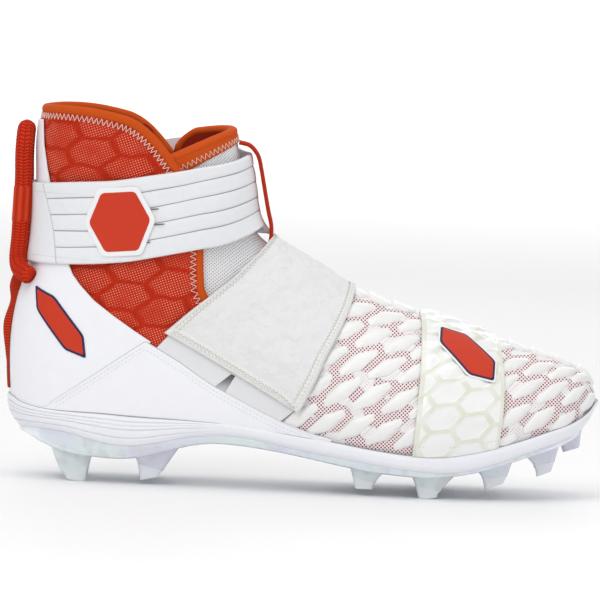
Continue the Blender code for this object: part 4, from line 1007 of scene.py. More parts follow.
LOOKS = {
    "ankle": upper_look(),
    "lining": plain_cloth("lining_cloth", (0.20, 0.010, 0.004), (0.36, 0.022, 0.006), 0.5),
    "binding": plain_cloth("collar_binding", (0.50, 0.060, 0.005), (0.64, 0.095, 0.008), 0.35, 0.75, 0.05),
    "thread": plain_cloth("pale_thread", (0.78, 0.55, 0.45), (0.90, 0.74, 0.66), 0.4, 0.6, 0.03),
    "grey_thread": plain_cloth("grey_thread", (0.50, 0.50, 0.47), (0.66, 0.66, 0.63), 0.4, 0.7, 0.02),
    "white_thread": plain_cloth("white_thread", (0.62, 0.62, 0.62), (0.82, 0.82, 0.82), 0.4, 0.6, 0.03),
    "tongue": tongue_look(),
    "forefoot": forefoot_look(),
    "scale": scale_look(),
    "synthetic": synthetic_look("heel_synthetic", (0.90, 0.905, 0.945)),
    "seam": synthetic_look("feather_shade_grey", (0.36, 0.36, 0.38), 0.6, 0.03),
    "edge": synthetic_look("edge_line_painted_shadow", (0.50, 0.50, 0.53), 0.6, 0.03),
    "anchor": synthetic_look("anchor_synthetic", (0.78, 0.785, 0.80), 0.5, 0.04),
    "felt": felt_look(),
    "border": border_look(),
    "foam": foam_look(),
    "plate": plate_look("clear_plate", 0.14, 0.22, 0.9),
    "tip": plate_look("stud_tip", 0.28, 0.12, 0.25),
    "cord": cord_look(),
    "sleeve": ribbed_look("sleeve_tape", (0.42, 0.022, 0.006), (0.62, 0.050, 0.012), 0.8, 1),
    "webbing": ribbed_look("heel_tape", (0.36, 0.016, 0.005), (0.60, 0.045, 0.010), 1.0, 0),
    "pull": ribbed_look("pull_tape", (0.42, 0.022, 0.006), (0.60, 0.045, 0.010), 0.9, 1),
    "insole": knit_look("insole_knit", (0.16, 0.010, 0.004), (0.34, 0.022, 0.008), 1.2),
    "badge": synthetic_look("badge_orange", (0.60, 0.034, 0.006), 0.55, 0.03),
    "badge_rim": synthetic_look("badge_white", (0.88, 0.88, 0.88), 0.5, 0.03),
    "badge_navy": synthetic_look("badge_navy", (0.018, 0.016, 0.075), 0.45, 0.03),
    "slit_shade": slit_shade_look(),
}


# The upper's two shells


def reach_down(row):
    """The turn that the ankle's grid reaches on each side: the rim's, and all the way round above the rim."""
    return np.where(row < RIM_ROW, rim_turn(np.minimum(row, RIM_ROW)), PI)


def build_upper():
    rows = np.concatenate([np.linspace(NOSE_ROW, 2.0, 22)[:-1], np.linspace(2.0, 11.9, 70)])
    across = np.linspace(-1, 1, 141)
    turn = rim_turn(rows)[:, None] * across
    row = rows[:, None] + 0 * turn
    lift = 0.00015 * ripple(row * 10, turn * 30, 14, 4)
    piece = shell("forefoot_base", last(row, turn, lift), last(row, turn, -WALL), "forefoot lining",
                  "upper_mesh", ["upper"], to_flat(row, turn))
    cut_collar(piece)
    rows = np.concatenate([np.linspace(11.7, RIM_ROW, 50)[:-1], np.linspace(RIM_ROW, LAST_ROW, 70)])
    across = np.linspace(-1, 1, 161)
    turn = reach_down(rows)[:, None] * across
    row = rows[:, None] + 0 * turn
    flat = to_flat(row, turn)
    # Soft dents, as in cloth that stands without a foot in it.
    dent = 0.00055 * ripple(flat[..., 0], flat[..., 1] + 400 * (turn > 0), 34, 7, 2)
    dent = dent * np.clip((row - 12) / 3, 0, 1) - 0.0003
    dent = np.where(np.isclose(np.abs(turn), PI), -0.0003, dent * np.clip((PI - np.abs(turn)) / 0.5, 0, 1))
    piece = shell("ankle_shell", last(row, turn, dent), last(row, turn, dent - WALL), "ankle lining",
                  "upper_mesh", ["upper"], flat, shut=rows > RIM_ROW - 1e-6)
    cut_collar(piece)


def facing_out(mesh):
    """Turns a closed mesh's faces so that they face outward."""
    kit = bmesh.new()
    kit.from_mesh(mesh)
    bmesh.ops.remove_doubles(kit, verts=kit.verts, dist=1e-7)
    loose = [vertex for vertex in kit.verts if not vertex.link_faces]
    bmesh.ops.delete(kit, geom=loose, context="VERTS")
    bmesh.ops.recalc_face_normals(kit, faces=kit.faces)
    kit.to_mesh(mesh)
    kit.free()


def cut_collar(piece):
    """Takes away what lies above the collar's line."""
    edge = along_path(COLLAR, 120)
    far = np.array([(0.83, 1.05), (0.83, 1.60), (-0.27, 1.60), (-0.27, COLLAR[0][1])]) * (LENGTH, HEIGHT)
    outline = np.concatenate([edge, far])
    count = len(outline)
    near = np.column_stack([outline[:, 0], np.full(count, -0.1), outline[:, 1]])
    points = np.concatenate([near, near * (1, -1, 1)]) + MOVE
    faces = [tuple(range(count)), tuple(range(2 * count - 1, count - 1, -1))]
    faces += [(i, i + count, (i + 1) % count + count, (i + 1) % count) for i in range(count)]
    mesh = bpy.data.meshes.new("collar_cutter")
    mesh.from_pydata(points, [], faces)
    mesh.materials.append(LOOKS["lining"])
    facing_out(mesh)
    facing_out(piece.data)
    cutter = bpy.data.objects.new("collar_cutter", mesh)
    bpy.context.scene.collection.objects.link(cutter)
    cut = piece.modifiers.new("cut", "BOOLEAN")
    cut.object = cutter
    cut.operation = "DIFFERENCE"
    cut.solver = "EXACT"
    graph = bpy.context.evaluated_depsgraph_get()
    made = bpy.data.meshes.new_from_object(piece.evaluated_get(graph))
    piece.modifiers.clear()
    old = piece.data
    piece.data = made
    bpy.data.meshes.remove(old)
    bpy.data.objects.remove(cutter)


def collar_line():
    """The collar's edge as rows and turns, from the throat's front end round the heel and back."""
    turn = np.linspace(-PI, -2.0, 120)

    def below(row):
        p = bare(row, turn)
        return p[..., 2] - line(COLLAR, p[..., 0])

    row = root(below, np.full(120, 20.0), np.full(120, 27.0))
    heel = np.stack([row, turn], -1)
    reached = bare(row[-1], turn[-1])[0]
    path = along_path(COLLAR, 900)
    path = path[path[:, 0] > reached + 0.0004]
    side = find(path)
    side = side[side[:, 1] < -0.02]
    half = np.concatenate([heel, side])
    other = half[1:] * (1, -1) - (0, 2 * PI)
    whole = np.concatenate([half[::-1], other])
    points = last(whole[:, 0], whole[:, 1])
    return spaced(np.concatenate([points, whole], 1), 0.0012)[:, 3:]


def build_collar():
    edge = collar_line()
    path = last(edge[:, 0], edge[:, 1], -WALL / 2)
    for _ in range(2):
        path[1:-1] = (path[:-2] + 2 * path[1:-1] + path[2:]) / 4
    side, lift = frames_along(path, outward(edge[:, 0], edge[:, 1]))
    sweep("collar_binding", path - side * 0.0008, round_sides(side, lift, 0.0024, 0.0019), "binding",
          count=14)
    zigzag("collar_stitch", edge, 0.00045, 0.0027, -0.0060, -0.0028, "thread", 0.00019)


TONGUE_ROW, TONGUE_TILT = 23.6, 0.62  # of its rim: the row at the crest, and how much it rises to one side
TONGUE_REACH = 1.35  # turn of the rim's ends


def tongue_fall(spread):
    """How far, in rows, the rim's far corner is rounded off."""
    return 1.1 * (1 - np.sqrt(np.clip(1 - np.maximum(spread - 0.66, 0) / 0.18, 0, 1)))


def build_tongue():
    rows = np.linspace(10.2, TONGUE_ROW, 90)
    spread = np.linspace(-1, 0.84, 61)
    reach = np.interp(rows, (10.2, 11.5, 13.0, 14.5, 24.0), (0.55, 0.85, 1.20, 1.45, TONGUE_REACH))
    tilt = np.interp(rows, (16.0, TONGUE_ROW), (0.0, TONGUE_TILT))
    near_rim = np.interp(rows, (20.5, TONGUE_ROW), (0, 1))
    row = rows[:, None] + tilt[:, None] * spread - tongue_fall(spread) * near_rim[:, None]
    turn = reach[:, None] * spread
    thin = np.interp(np.abs(spread), (0.0, 0.7, 1.0), (1.0, 0.9, 0.45))[None] + 0 * row
    flat = to_flat(row, turn)
    puff = 0.0004 * np.cos(spread * PI / 2)[None] + 0.0002 * ripple(flat[..., 0], turn * 30, 20, 3, 2)
    top = TONGUE_OUT + puff - 0.0004
    piece = shell("tongue_body", last(row, turn, top), last(row, turn, top - TONGUE * thin),
                  "tongue lining", "tongue_fabric", ["tongue"], flat)
    # Rolled rim along the top edge, with its band of cloth and its stitches.
    share = np.linspace(-1, 0.84, 90)
    high = TONGUE_ROW + TONGUE_TILT * share - tongue_fall(share)
    turns = TONGUE_REACH * share
    path = last(high, turns, TONGUE_OUT - 0.0018)
    side, lift = frames_along(path, outward(high, turns))
    sweep("tongue_rim", path, round_sides(side, lift, 0.0024, 0.0028), "binding", count=14)
    band = np.stack([np.stack([high - fall, turns], -1) for fall in (0.0, 0.5, 1.05)])
    overlay("tongue_rim_band", band, TONGUE_OUT + 0.0002, 0.0005, "binding", "tongue_fabric", [])
    low = np.stack([high - 0.72, turns], -1)
    zigzag("tongue_stitch", low, TONGUE_OUT + 0.0009, 0.0027, -0.0016, 0.0014, "thread",
           0.00018)


# Overlays


def build_counter():
    edge = find(along_path(COUNTER_FRONT, 121))
    edge[0, 0] = root(lambda row: above_rim(bare(row, edge[0, 1])) + 0.0006, np.array(12.0), np.array(18.0))
    other = edge * (1, -1) - (0, 2 * PI)
    low_turn = np.linspace(edge[0, 1], other[0, 1], 97)
    high_turn = np.linspace(edge[-1, 1], other[-1, 1], 97)
    low = root(lambda row: above_rim(bare(row, low_turn)) + 0.0006, np.full(97, 10.0), np.full(97, 18.5))
    high = np.full(97, edge[-1, 0])
    where = coons(np.stack([low, low_turn], -1), np.stack([high, high_turn], -1), edge, other, 3)
    overlay("counter_cover", where, LAID, OVERLAY, "synthetic", "synthetic", ["heel_counter"], 1.0)


def build_panels():
    top = along_path(PANEL_TOP, 121)
    foot = np.stack([top[:, 0], line(RIM, top[:, 0]) - 0.0006], -1)
    top[:, 1] = np.maximum(top[:, 1], foot[:, 1] + 0.0004)
    where = between(find(foot), find(top), 9)
    tall, _ = grid_size(where)

    def welt(down, over, edge, row, turn):
        near = (tall - down) * np.clip(np.sin(over / over.max() * PI) * 1.6, 0.3, 1)
        return 0.26 * np.exp(-(((near - 0.9) / 0.5) ** 2)) - 0.20 * np.exp(-(((near - 2.1) / 0.3) ** 2))

    for mark, way in (("outer", 1), ("inner", -1)):
        overlay(f"side_panel_cover_{mark}", where * (1, way), LAID, OVERLAY + PANEL_MORE, "synthetic",
                "synthetic", [f"side_panel_{mark}"], 0.9, relief=welt)
        # A thin grey line along the panel's top edge: its grey edge, and painted shadow where the panel meets
        # the upper.
        brim = find(along_path(PANEL_TOP, 300)[6:-12]) * (1, way)
        centre, path = along_line(brim, LAID + OVERLAY, 0.0012)
        side, lift = frames_along(centre, outward(path[:, 3], path[:, 4]))
        sides = round_sides(side, lift, 0.00016, 0.00016)
        sweep(f"panel_edge_shadow_{mark}", centre, sides, "edge", count=6)
        for drop in (0.0022, 0.0042):
            path = along_path(PANEL_TOP, 300)[14:-30] - (0, drop)
            stitch_row(f"panel_stitch_{mark}_{int(drop * 10000)}", find(path) * (1, way),
                       LAID + OVERLAY + PANEL_MORE, 0.0021, "white_thread", 0.62, 0.00036, 0.00030)


def build_anchor():
    # Its lower edge is tucked under the panel's.
    anchor = between(find(along_path(ANCHOR_LOW, 61) - (0.0015, 0.0046)), find(along_path(ANCHOR_HIGH, 61)), 7)
    overlay("anchor_cover", anchor, LAID, OVERLAY, "anchor", "synthetic", ["strap_anchor"], 0.9)
    # The slit where its two halves meet under the strap, by its four corners in mm, drawn as a thin sheet of
    # painted shade.
    left, right = between((104.8, 50.8), (113.7, 58.2), 9), between((110.6, 48.4), (115.8, 57.4), 9)
    where = find(0.001 * between(left, right, 5))
    grids = [last(where[..., 0], where[..., 1], out) for out in (LAID + OVERLAY + 0.0001, LAID)]
    shell("anchor_slit_shade", grids[0], grids[1], "slit_shade", "synthetic")


def edge_rows(value, share, low, high):
    """Rows between low and high where a strap's edge lies, at these shares of the turn down to the rim."""
    low, high = np.full_like(share, low), np.full_like(share, high)
    return root(lambda row: value(bare(row, share * rim_turn(row))), low, high)


def midfoot_grid():
    """The midfoot strap: an outer half with a free end, and an inner half that runs down to the rim."""
    corners = np.array([STRAP_REAR[0], (0.494, 0.215)]) * (LENGTH, HEIGHT)
    end = find(between(*corners, 21))
    half = np.linspace(0, 1, 41)

    def edge(corner, value, low, high):
        turn = corner[1] * (1 - half)
        row = root(lambda r: value(bare(r, turn)), np.full(41, low), np.full(41, high))
        return np.stack([row, turn], -1)

    rear = edge(end[0], lambda p: p[..., 2] - line(STRAP_REAR, p[..., 0]), 9.0, 19.0)
    front = edge(end[-1], lambda p: steep(STRAP_FRONT, p[..., 2]) - p[..., 0], 8.0, 15.0)
    outer_half = coons(rear, front, end, between(rear[-1], front[-1], 21))
    share = np.linspace(0, 0.985, 43)
    rear_in = edge_rows(lambda p: steep(STRAP_REAR_INNER, p[..., 2]) - p[..., 0], share, 9.0, 17.0)
    front_in = edge_rows(lambda p: steep(STRAP_FRONT_INNER, p[..., 2]) - p[..., 0], share, 8.0, 15.0)
    rear_in += (rear[-1, 0] - rear_in[0]) * (1 - share) ** 2
    front_in += (front[-1, 0] - front_in[0]) * (1 - share) ** 2
    row = between(rear_in, front_in, 21)
    inner_half = np.stack([row, share * rim_turn(row)], -1)
    return np.concatenate([outer_half, inner_half[:, 1:]], axis=1)


def midfoot_low(row, turn):
    """The midfoot strap's distance from the last."""
    return np.interp(turn, (-1.4, -0.5, 0.5, 1.2), (2.2, 0.8, 0.8, 2.2)) * 0.001


def build_midfoot_strap():
    where = midfoot_grid()
    tall, wide = grid_size(where)

    def felt(down, over, edge, row, turn):
        soft = 0.62 * ripple(down, over, 21, 21, 3) + 0.14 * ripple(down, over, 6, 8, 2)
        welt = 0.30 * np.exp(-((edge - 0.6) / 0.45) ** 2) - 0.16 * np.exp(-((edge - 3.9) / 0.35) ** 2)
        front = 0.35 * np.exp(-(((tall - down) - 0.8) / 0.5) ** 2)
        return soft * np.clip((edge - 3.5) / 3, 0, 1) + welt + front

    piece = overlay("midfoot_strap_cover", where, midfoot_low, STRAP, "felt felt border",
                    "strap_fabric", ["midfoot_strap"], 0.8, 0.6, felt)
    # The faces near the two long edges and the near end get the border's look.
    layer = piece.data.uv_layers["UVMap"]
    for face in piece.data.polygons:
        u, v = layer.data[face.loop_start].uv
        if min(v, tall - v, u) < 3.7 and face.material_index != 1:
            face.material_index = 2
    fine = resampled(where, np.linspace(0, 1, 200), np.linspace(0, 1, 300))
    for mark, in_mm in (("edge", 1.5), ("inside", 2.9)):
        for name, path in (
            ("rear", fine[int(200 * in_mm / tall), 6:-4]),
            ("front", fine[-int(200 * in_mm / tall) - 1, 6:-4]),
            ("end", fine[6:-6, int(300 * in_mm / wide)]),
        ):
            height = midfoot_low(path[:, 0], path[:, 1]) + STRAP + 0.00010
            zigzag(f"strap_stitch_{name}_{mark}", path, height, 0.0022, -0.0006, 0.0006, "grey_thread",
                   0.00016)


def build_band():
    share = np.linspace(-0.99, 0.99, 81)
    rear = edge_rows(lambda p: steep(BAND_REAR, p[..., 2]) - p[..., 0], share, 4.0, 13.0)
    front = edge_rows(lambda p: steep(BAND_FRONT, p[..., 2]) - p[..., 0], share, 2.0, 11.0)
    row = between(rear, front, 9)
    where = np.stack([row, share * rim_turn(row)], -1)
    tall, wide = grid_size(where)
    LOOKS["band"] = band_look(tall)

    def relief(down, over, edge, row, turn):
        flat = to_flat(row, turn)
        crest = np.exp(-((turn / 0.9) ** 2))
        pillow = eased(comb(flat, CELL_A, CELL_B, CELL_MIDDLE), 0.48, 0.20)
        return (0.30 + crest) * pillow * np.clip((edge - 1.5) / 3, 0, 1) + 0.06 * ripple(down, over, 12, 5)

    piece = overlay("band_cover", where, BAND_LOW, BAND, "band", "band_film",
                    ["forefoot_band"], 0.8, 0.5, relief)
    set_flat_uv(piece, where)
    fine = resampled(where, np.linspace(0, 1, 120), np.linspace(0, 1, 400))
    top = BAND_LOW + BAND + 0.00003
    for mark, path in (
        ("low", fine[8:-8, int(400 * 8.5 / wide)]),
        ("rear", fine[int(120 * 1.3 / tall), 4:int(400 * 9 / wide)]),
        ("front", fine[-int(120 * 1.3 / tall) - 1, 4:int(400 * 9 / wide)]),
    ):
        stitch_row(f"band_stitch_{mark}", path, top, 0.0019, "grey_thread", 0.5, 0.0004, 0.0003)


def set_flat_uv(piece, where):
    """Keeps a piece's UV map as Laid and puts its places on the flat pattern in its stead."""
    tall, wide = grid_size(where)
    layers = piece.data.uv_layers
    uv = np.zeros(len(piece.data.loops) * 2, np.float32)
    layers["UVMap"].data.foreach_get("uv", uv)
    layers.new(name="Laid").data.foreach_set("uv", uv)
    over, down = uv[::2] / wide, uv[1::2] / tall
    at = read_grid(where, down * (where.shape[0] - 1), over * (where.shape[1] - 1))
    layers["UVMap"].data.foreach_set("uv", to_flat(at[:, 0], at[:, 1]).astype(np.float32).ravel())


def ankle_grid():
    turn = np.linspace(-PI, PI, 145)
    outer = turn < 0

    def edge(near_table, far_table):
        def value(row):
            p = bare(row, turn)
            return p[..., 2] - np.where(outer, line(near_table, p[..., 0]), line(far_table, p[..., 0]))
        return root(value, np.full(145, 13.0), np.full(145, 26.5))

    row = between(edge(ANKLE_LOW, ANKLE_LOW_INNER), edge(ANKLE_TOP, ANKLE_TOP_INNER), 9)
    return np.stack([row, np.broadcast_to(turn, row.shape)], -1)


def ankle_low(row, turn):
    """The ankle strap's distance from the last."""
    return np.interp(np.abs(turn), (0.0, 1.2, 1.8), (0.0007, 0.0011, ANKLE_LOW_SIDE))


def build_ankle_strap():
    where = ankle_grid()
    tall, wide = grid_size(where)
    seam = find(np.array([(25.1, 109.6), (17.6, 148.2)]) * 0.001)[:, 1]
    seam_mm = (seam + PI) / (2 * PI) * wide
    LOOKS["strap"] = strap_look(tall, wide, seam_mm)

    def ribs(down, over, edge, row, turn):
        share = down / tall
        side = np.minimum(over, wide - over)
        run = np.clip((side - 0.09 * wide) / (0.38 * wide), 0, 1)
        tab = seam_mm[0] + (seam_mm[1] - seam_mm[0]) * share
        out = np.zeros_like(down)
        before = np.zeros_like(down)
        for start, end in GROOVES + ((1.0, 1.0),):
            place = start + (end - start) * run
            inside = np.clip((share - before) / (place - before), 0, 1)
            out = out + np.where((share >= before) & (share < place), 0.30 * np.sin(inside * PI) ** 0.5, 0)
            if start < 1.0:
                out = out - 0.55 * np.exp(-(((share - place) * tall / 0.33) ** 2))
            before = place
        cloth = np.clip((side - tab) / 0.6, 0, 1)
        fold = 0.3 * np.exp(-(((side - tab) / 0.4) ** 2))
        return out * cloth + 0.25 * (1 - cloth) - fold + 0.05 * ripple(down, over, 16, 9)

    overlay("ankle_strap_cover", where, ankle_low, STRAP, "strap", "strap_fabric", ["ankle_strap"], 0.7, 0.7,
            ribs, ring=True)
    top = ANKLE_LOW_SIDE + STRAP + 0.0004
    for number, (start, end) in enumerate((((11.0, 145.2), (34.0, 145.6)), ((14.5, 112.6), (40.0, 112.4)))):
        stitch_row(f"strap_tab_stitch_{number}", find(between(start, end, 40) * 0.001), top - 0.0001, 0.0016,
                   "grey_thread", 0.5, 0.0003, 0.0003)
    # The slits that show beside the badge, by their two ends in mm, drawn as dark bars of painted shade.
    for number, (start, end) in enumerate((((57.4, 145.9), (63.4, 146.2)), ((67.6, 139.2), (73.2, 139.8)),
                                           ((70.7, 131.6), (76.4, 132.2)), ((65.6, 122.1), (69.8, 122.9)))):
        row, turn = find(between(start, end, 5) * 0.001).T
        centre = last(row, turn, top - 0.0003)
        way = centre[-1] - centre[0]
        stitches(f"strap_slit_shade_{number}", centre[2:3], way[None], outward(row[2:3], turn[2:3]),
                 np.linalg.norm(way), 0.0007, 0.0005, "slit_shade")


# Forefoot scales


def rounded_outline(corners, inset, rounds=3, split=1):
    """A polygon drawn in by inset, with its corners cut round. A larger split keeps them sharper."""
    corners = np.asarray(corners, float)
    run = np.roll(corners, -1, 0) - corners
    inward = np.stack([-run[:, 1], run[:, 0]], -1)
    inward /= np.linalg.norm(inward, axis=1, keepdims=True)
    if ((corners.mean(0) - corners[0]) @ inward[0]) < 0:
        inward = -inward
    start = corners + inward * inset
    out = []
    for i in range(len(corners)):
        j = i - 1
        d1, d2 = run[j], run[i]
        cross = d1[0] * d2[1] - d1[1] * d2[0]
        gap = start[i] - start[j]
        out.append(start[j] + d1 * ((gap[0] * d2[1] - gap[1] * d2[0]) / cross))
    out = np.array(out)
    after = np.roll(out, -1, 0)
    out = np.stack([out + (after - out) * k / split for k in range(split)], 1).reshape(-1, 2)
    for _ in range(rounds):
        after = np.roll(out, -1, 0)
        out = np.stack([0.75 * out + 0.25 * after, 0.25 * out + 0.75 * after], 1).reshape(-1, 2)
    return out


def build_scales():
    """Padded plates in the honeycomb's cells on both sides, raised towards the crest."""
    a, b = np.array(CELL_A), np.array(CELL_B)
    back = np.array([a, b]).T @ np.linalg.inv(REGULAR)
    angles = np.radians(np.arange(6) * 60 + 30)
    corners = (back @ (np.stack([np.cos(angles), np.sin(angles)]) / math.sqrt(3))).T
    shapes = {inset: rounded_outline(corners, inset, 1, 3) for inset in (1.9, 1.2, 0.5)}
    long_way = (a + b) / np.linalg.norm(a + b)
    cross_way = np.array([-long_way[1], long_way[0]])
    rings = ((1.0, 0.0), (1.0, 0.10), (0.965, 0.26), (0.90, 0.48), (0.80, 0.74), (0.62, 1.04), (0.34, 1.24),
             (0.0, 1.30))
    centres = np.array([CELL_MIDDLE + i * a + j * b for i in range(-14, 15) for j in range(-9, 10)])
    row, turn = from_flat(centres)
    off = np.linalg.norm(to_flat(row, turn) - centres, axis=1)
    point = bare(row, turn)
    keep = (off < 6.0) & (point[:, 0] > 0.142) & (row < 11.5) & (above_rim(point) > -0.0035) & (turn < -0.24)
    dice = np.random.default_rng(12)
    plates = Plates()
    for centre, at in zip(centres[keep], turn[keep]):
        outline = shapes[0.5 if at > -0.42 else 1.2 if at > -0.85 else 1.9]
        size, turned = dice.uniform(0.93, 1.05), dice.uniform(-0.05, 0.05)
        c, s = math.cos(turned), math.sin(turned)
        grid, height = rings_of(outline @ np.array([[c, s], [-s, c]]) * size, centre, rings)
        row, turn = from_flat(grid)
        turn = np.maximum(turn, -rim_turn(row))
        crest = np.exp(-((turn / 0.62) ** 2))
        ridge = 0.20 * np.exp(-(((grid - centre) @ cross_way / 2.2) ** 2)) * (height > 0.9)
        slope = np.clip(0.75 - (grid - centre) @ long_way * 0.09, 0.1, 1.7)
        lifted = crest * (slope * np.clip(height / 0.8, 0, 1) - 0.25)
        turn = np.minimum(turn, -0.03)
        covered = covered_share(bare(row, turn))
        out = 0.001 * ((height + ridge + lifted) * (1 - covered) + np.minimum(height, 0.75) * covered)
        plates.add(last(row, turn, out), grid)
        plates.add(last(row, -turn, out), grid, flip=True)
    plates.piece("forefoot_scales", "scale")


def covered_share(point):
    """1 where the band or the midfoot strap lies over a point, 0 from 2 mm beside them."""
    along, up = point[..., 0], point[..., 2]

    def ahead(low, high):
        return np.clip((high - low + 0.002) / 0.002, 0, 1)

    band = ahead(steep(BAND_REAR, up), along) * ahead(along, steep(BAND_FRONT, up))
    return np.maximum(band, ahead(along, steep(STRAP_FRONT, up)))


def build_shingles():
    """Plates along the crest: each rises at its rear and runs down under the next one's rear end."""
    fine = np.linspace(1.2, 11.6, 800)
    gone = gone_along(bare(fine, np.zeros(800))) * 1000
    corners = ((7.6, 2.2), (2.0, 8.6), (-5.6, 7.4), (-7.4, 0.0), (-5.6, -7.4), (2.0, -8.6), (7.6, -2.2))
    outline = rounded_outline(corners, 0.0, 2, 3)
    rings = ((1.0, -0.5), (1.0, 0.0), (0.96, 0.30), (0.88, 0.58), (0.75, 0.84), (0.54, 1.04), (0.28, 1.15),
             (0.0, 1.18))
    dice = np.random.default_rng(5)
    plates = Plates()
    for middle in np.arange(6.0, gone[-1] - 2, 12.4):
        shape = outline * (1 + dice.uniform(-0.06, 0.06), np.interp(middle, (0, 25), (0.62, 1.0)))
        grid, height = rings_of(shape, 0.0, rings)
        row = np.interp(middle - grid[..., 0], gone, fine)
        rate = np.linalg.norm(bare(row, 0.05) - bare(row, -0.05), axis=-1) / 0.1
        turn = grid[..., 1] * 0.001 / rate
        rise = np.clip(1.15 - grid[..., 0] * 0.15, 0.1, 2.3) * np.clip((height + 0.5) / 1.2, 0, 1)
        covered = covered_share(bare(row, turn))
        out = 0.001 * ((height + rise) * (1 - covered) + np.minimum(height, 0.75) * covered)
        plates.add(last(row, turn, out), to_flat(row, turn))
    plates.piece("crest_shingles", "scale")


# Sole


SOLE_STEPS = 81
SPREAD = (1 - np.cos(np.linspace(0, PI, SOLE_STEPS))) / 2


def sole_loop():
    """The line where the upper meets the sole's rim, seen from above, and its outward directions. It runs from
    the toe along the outer side to the heel and back."""
    fine = np.linspace(NOSE_ROW, RIM_ROW, 600)
    along = bare(fine, rim_turn(fine))[..., 0]
    stations = along[0] + (along[-1] - along[0]) * SPREAD
    rows = np.interp(-stations, -along, fine)
    turns = rim_turn(rows)
    turns[0], turns[-1] = 0.0, PI
    near, far = bare(rows, -turns), bare(rows, turns)
    near[0, 1] = near[-1, 1] = 0
    near[0] = bare(NOSE_ROW, 0.0)
    loop = np.concatenate([near, far[-2:0:-1]])[:, :2]
    for _ in range(3):
        loop = (np.roll(loop, 1, 0) + 2 * loop + np.roll(loop, -1, 0)) / 4
    run = np.roll(loop, -1, axis=0) - np.roll(loop, 1, axis=0)
    out = np.column_stack([-run[:, 1], run[:, 0]])
    out /= np.linalg.norm(out, axis=1, keepdims=True)
    if (out[SOLE_STEPS // 2, 1] > 0) == (loop[SOLE_STEPS // 2, 1] < 0):
        out = -out
    return loop, out


LOOP, LOOP_OUT = sole_loop()


def ring_at(side, heel, toe, low, high, share, cut=0.0):
    """A ring round the sole, mm out from LOOP at the side, the heel end and the toe end, and at a share of the
    height from one line up to another. A cut draws its heel half in."""
    along = LOOP[:, 0]
    at_heel = np.clip(1 - along / (0.13 * LENGTH), 0, 1) ** 1.5
    at_toe = np.clip((along / LENGTH - 0.90) / 0.10, 0, 1) ** 1.3
    out = 0.001 * (side + (heel - side) * at_heel + (toe - side) * at_toe)
    out = out - cut * np.interp(along / LENGTH, (0.26, 0.40), (1, 0))
    flat = LOOP + LOOP_OUT * out[:, None]
    bottom, top = line(low, flat[:, 0]), np.minimum(line(high, flat[:, 0]), FOAM_TOP)
    return np.column_stack([flat, bottom + (top - bottom) * share])


def sole_faces(levels):
    """Faces of a stack of rings round the sole, closed across the first and the last."""
    rings, count = len(levels), len(LOOP)
    faces = loop_faces(rings, count).tolist()
    for start, flip in ((0, False), ((rings - 1) * count, True)):
        for i in range(SOLE_STEPS - 1):
            ends = (i, i + 1, (count - i - 1) % count, (count - i) % count)
            corners = tuple(dict.fromkeys(start + k for k in ends))
            faces.append(corners[::-1] if flip else corners)
    return faces


def build_midsole():
    table = np.array(MIDSOLE_RINGS)
    near = np.add.outer(FOAM_GROOVES, (-0.022, -0.012, 0.012, 0.022)).ravel()
    levels = [ring_at(-1.0, -1.0, -1.0, FOAM, RIM, 1.0)]
    for share in np.unique(np.concatenate([np.linspace(0, 1, 34), table[:, 0], near]))[::-1]:
        cut = 0.0007 * sum(math.exp(-(((share - groove) / 0.016) ** 2)) for groove in FOAM_GROOVES)
        levels.append(ring_at(*smooth(table[:, 0], table[:, 1:], share), FOAM, RIM, share, cut))
    levels[-1][:, 2] -= 0.0005
    levels.append(ring_at(-6.0, -9.0, -10.0, FOAM, RIM, 0.0))
    points = np.concatenate(levels)
    piece_of("midsole_foam", points, sole_faces(levels), "foam", ["midsole"], points[:, [0, 2]] * 1000)
    # A grey line of painted shade where the upper meets the foam, farther out where a panel lies over the
    # upper.
    share = LOOP[:, 0] / LENGTH
    flat = LOOP + LOOP_OUT * np.interp(share, (0.50, 0.57), (0.00235, 0.00155))[:, None]
    drop = np.interp(share, (0.50, 0.57), (0.00075, -0.00005))
    path = np.column_stack([flat, np.minimum(line(RIM, flat[:, 0]), FOAM_TOP) - drop])
    side, lift = frames_along(path, (0, 0, 1), True)
    sweep("feather_shade_line", path, round_sides(side, lift, 0.00026, 0.00026), "seam",
          closed=True, count=6)


def build_insole():
    rows = np.linspace(NOSE_ROW + 0.9, RIM_ROW - 0.25, 90)
    turns = rim_turn(rows)
    across = np.linspace(-1, 1, 31)
    grids = []
    for lift in (0.0032, 0.0):
        ends = [last(rows, turn, -WALL - 0.0022) for turn in (-turns, turns)]
        sheet = np.moveaxis(between(*ends, 31), 0, 1)
        sheet[..., 2] = line(RIM, sheet[..., 0]) + 2 * GAP + lift + 0.0012 * across**4 * (lift > 0)
        grids.append(sheet)
    shell("insole_sheet", grids[0], grids[1], "insole", "insole_fabric", ["insole"], grids[0][..., :2] * 1000)


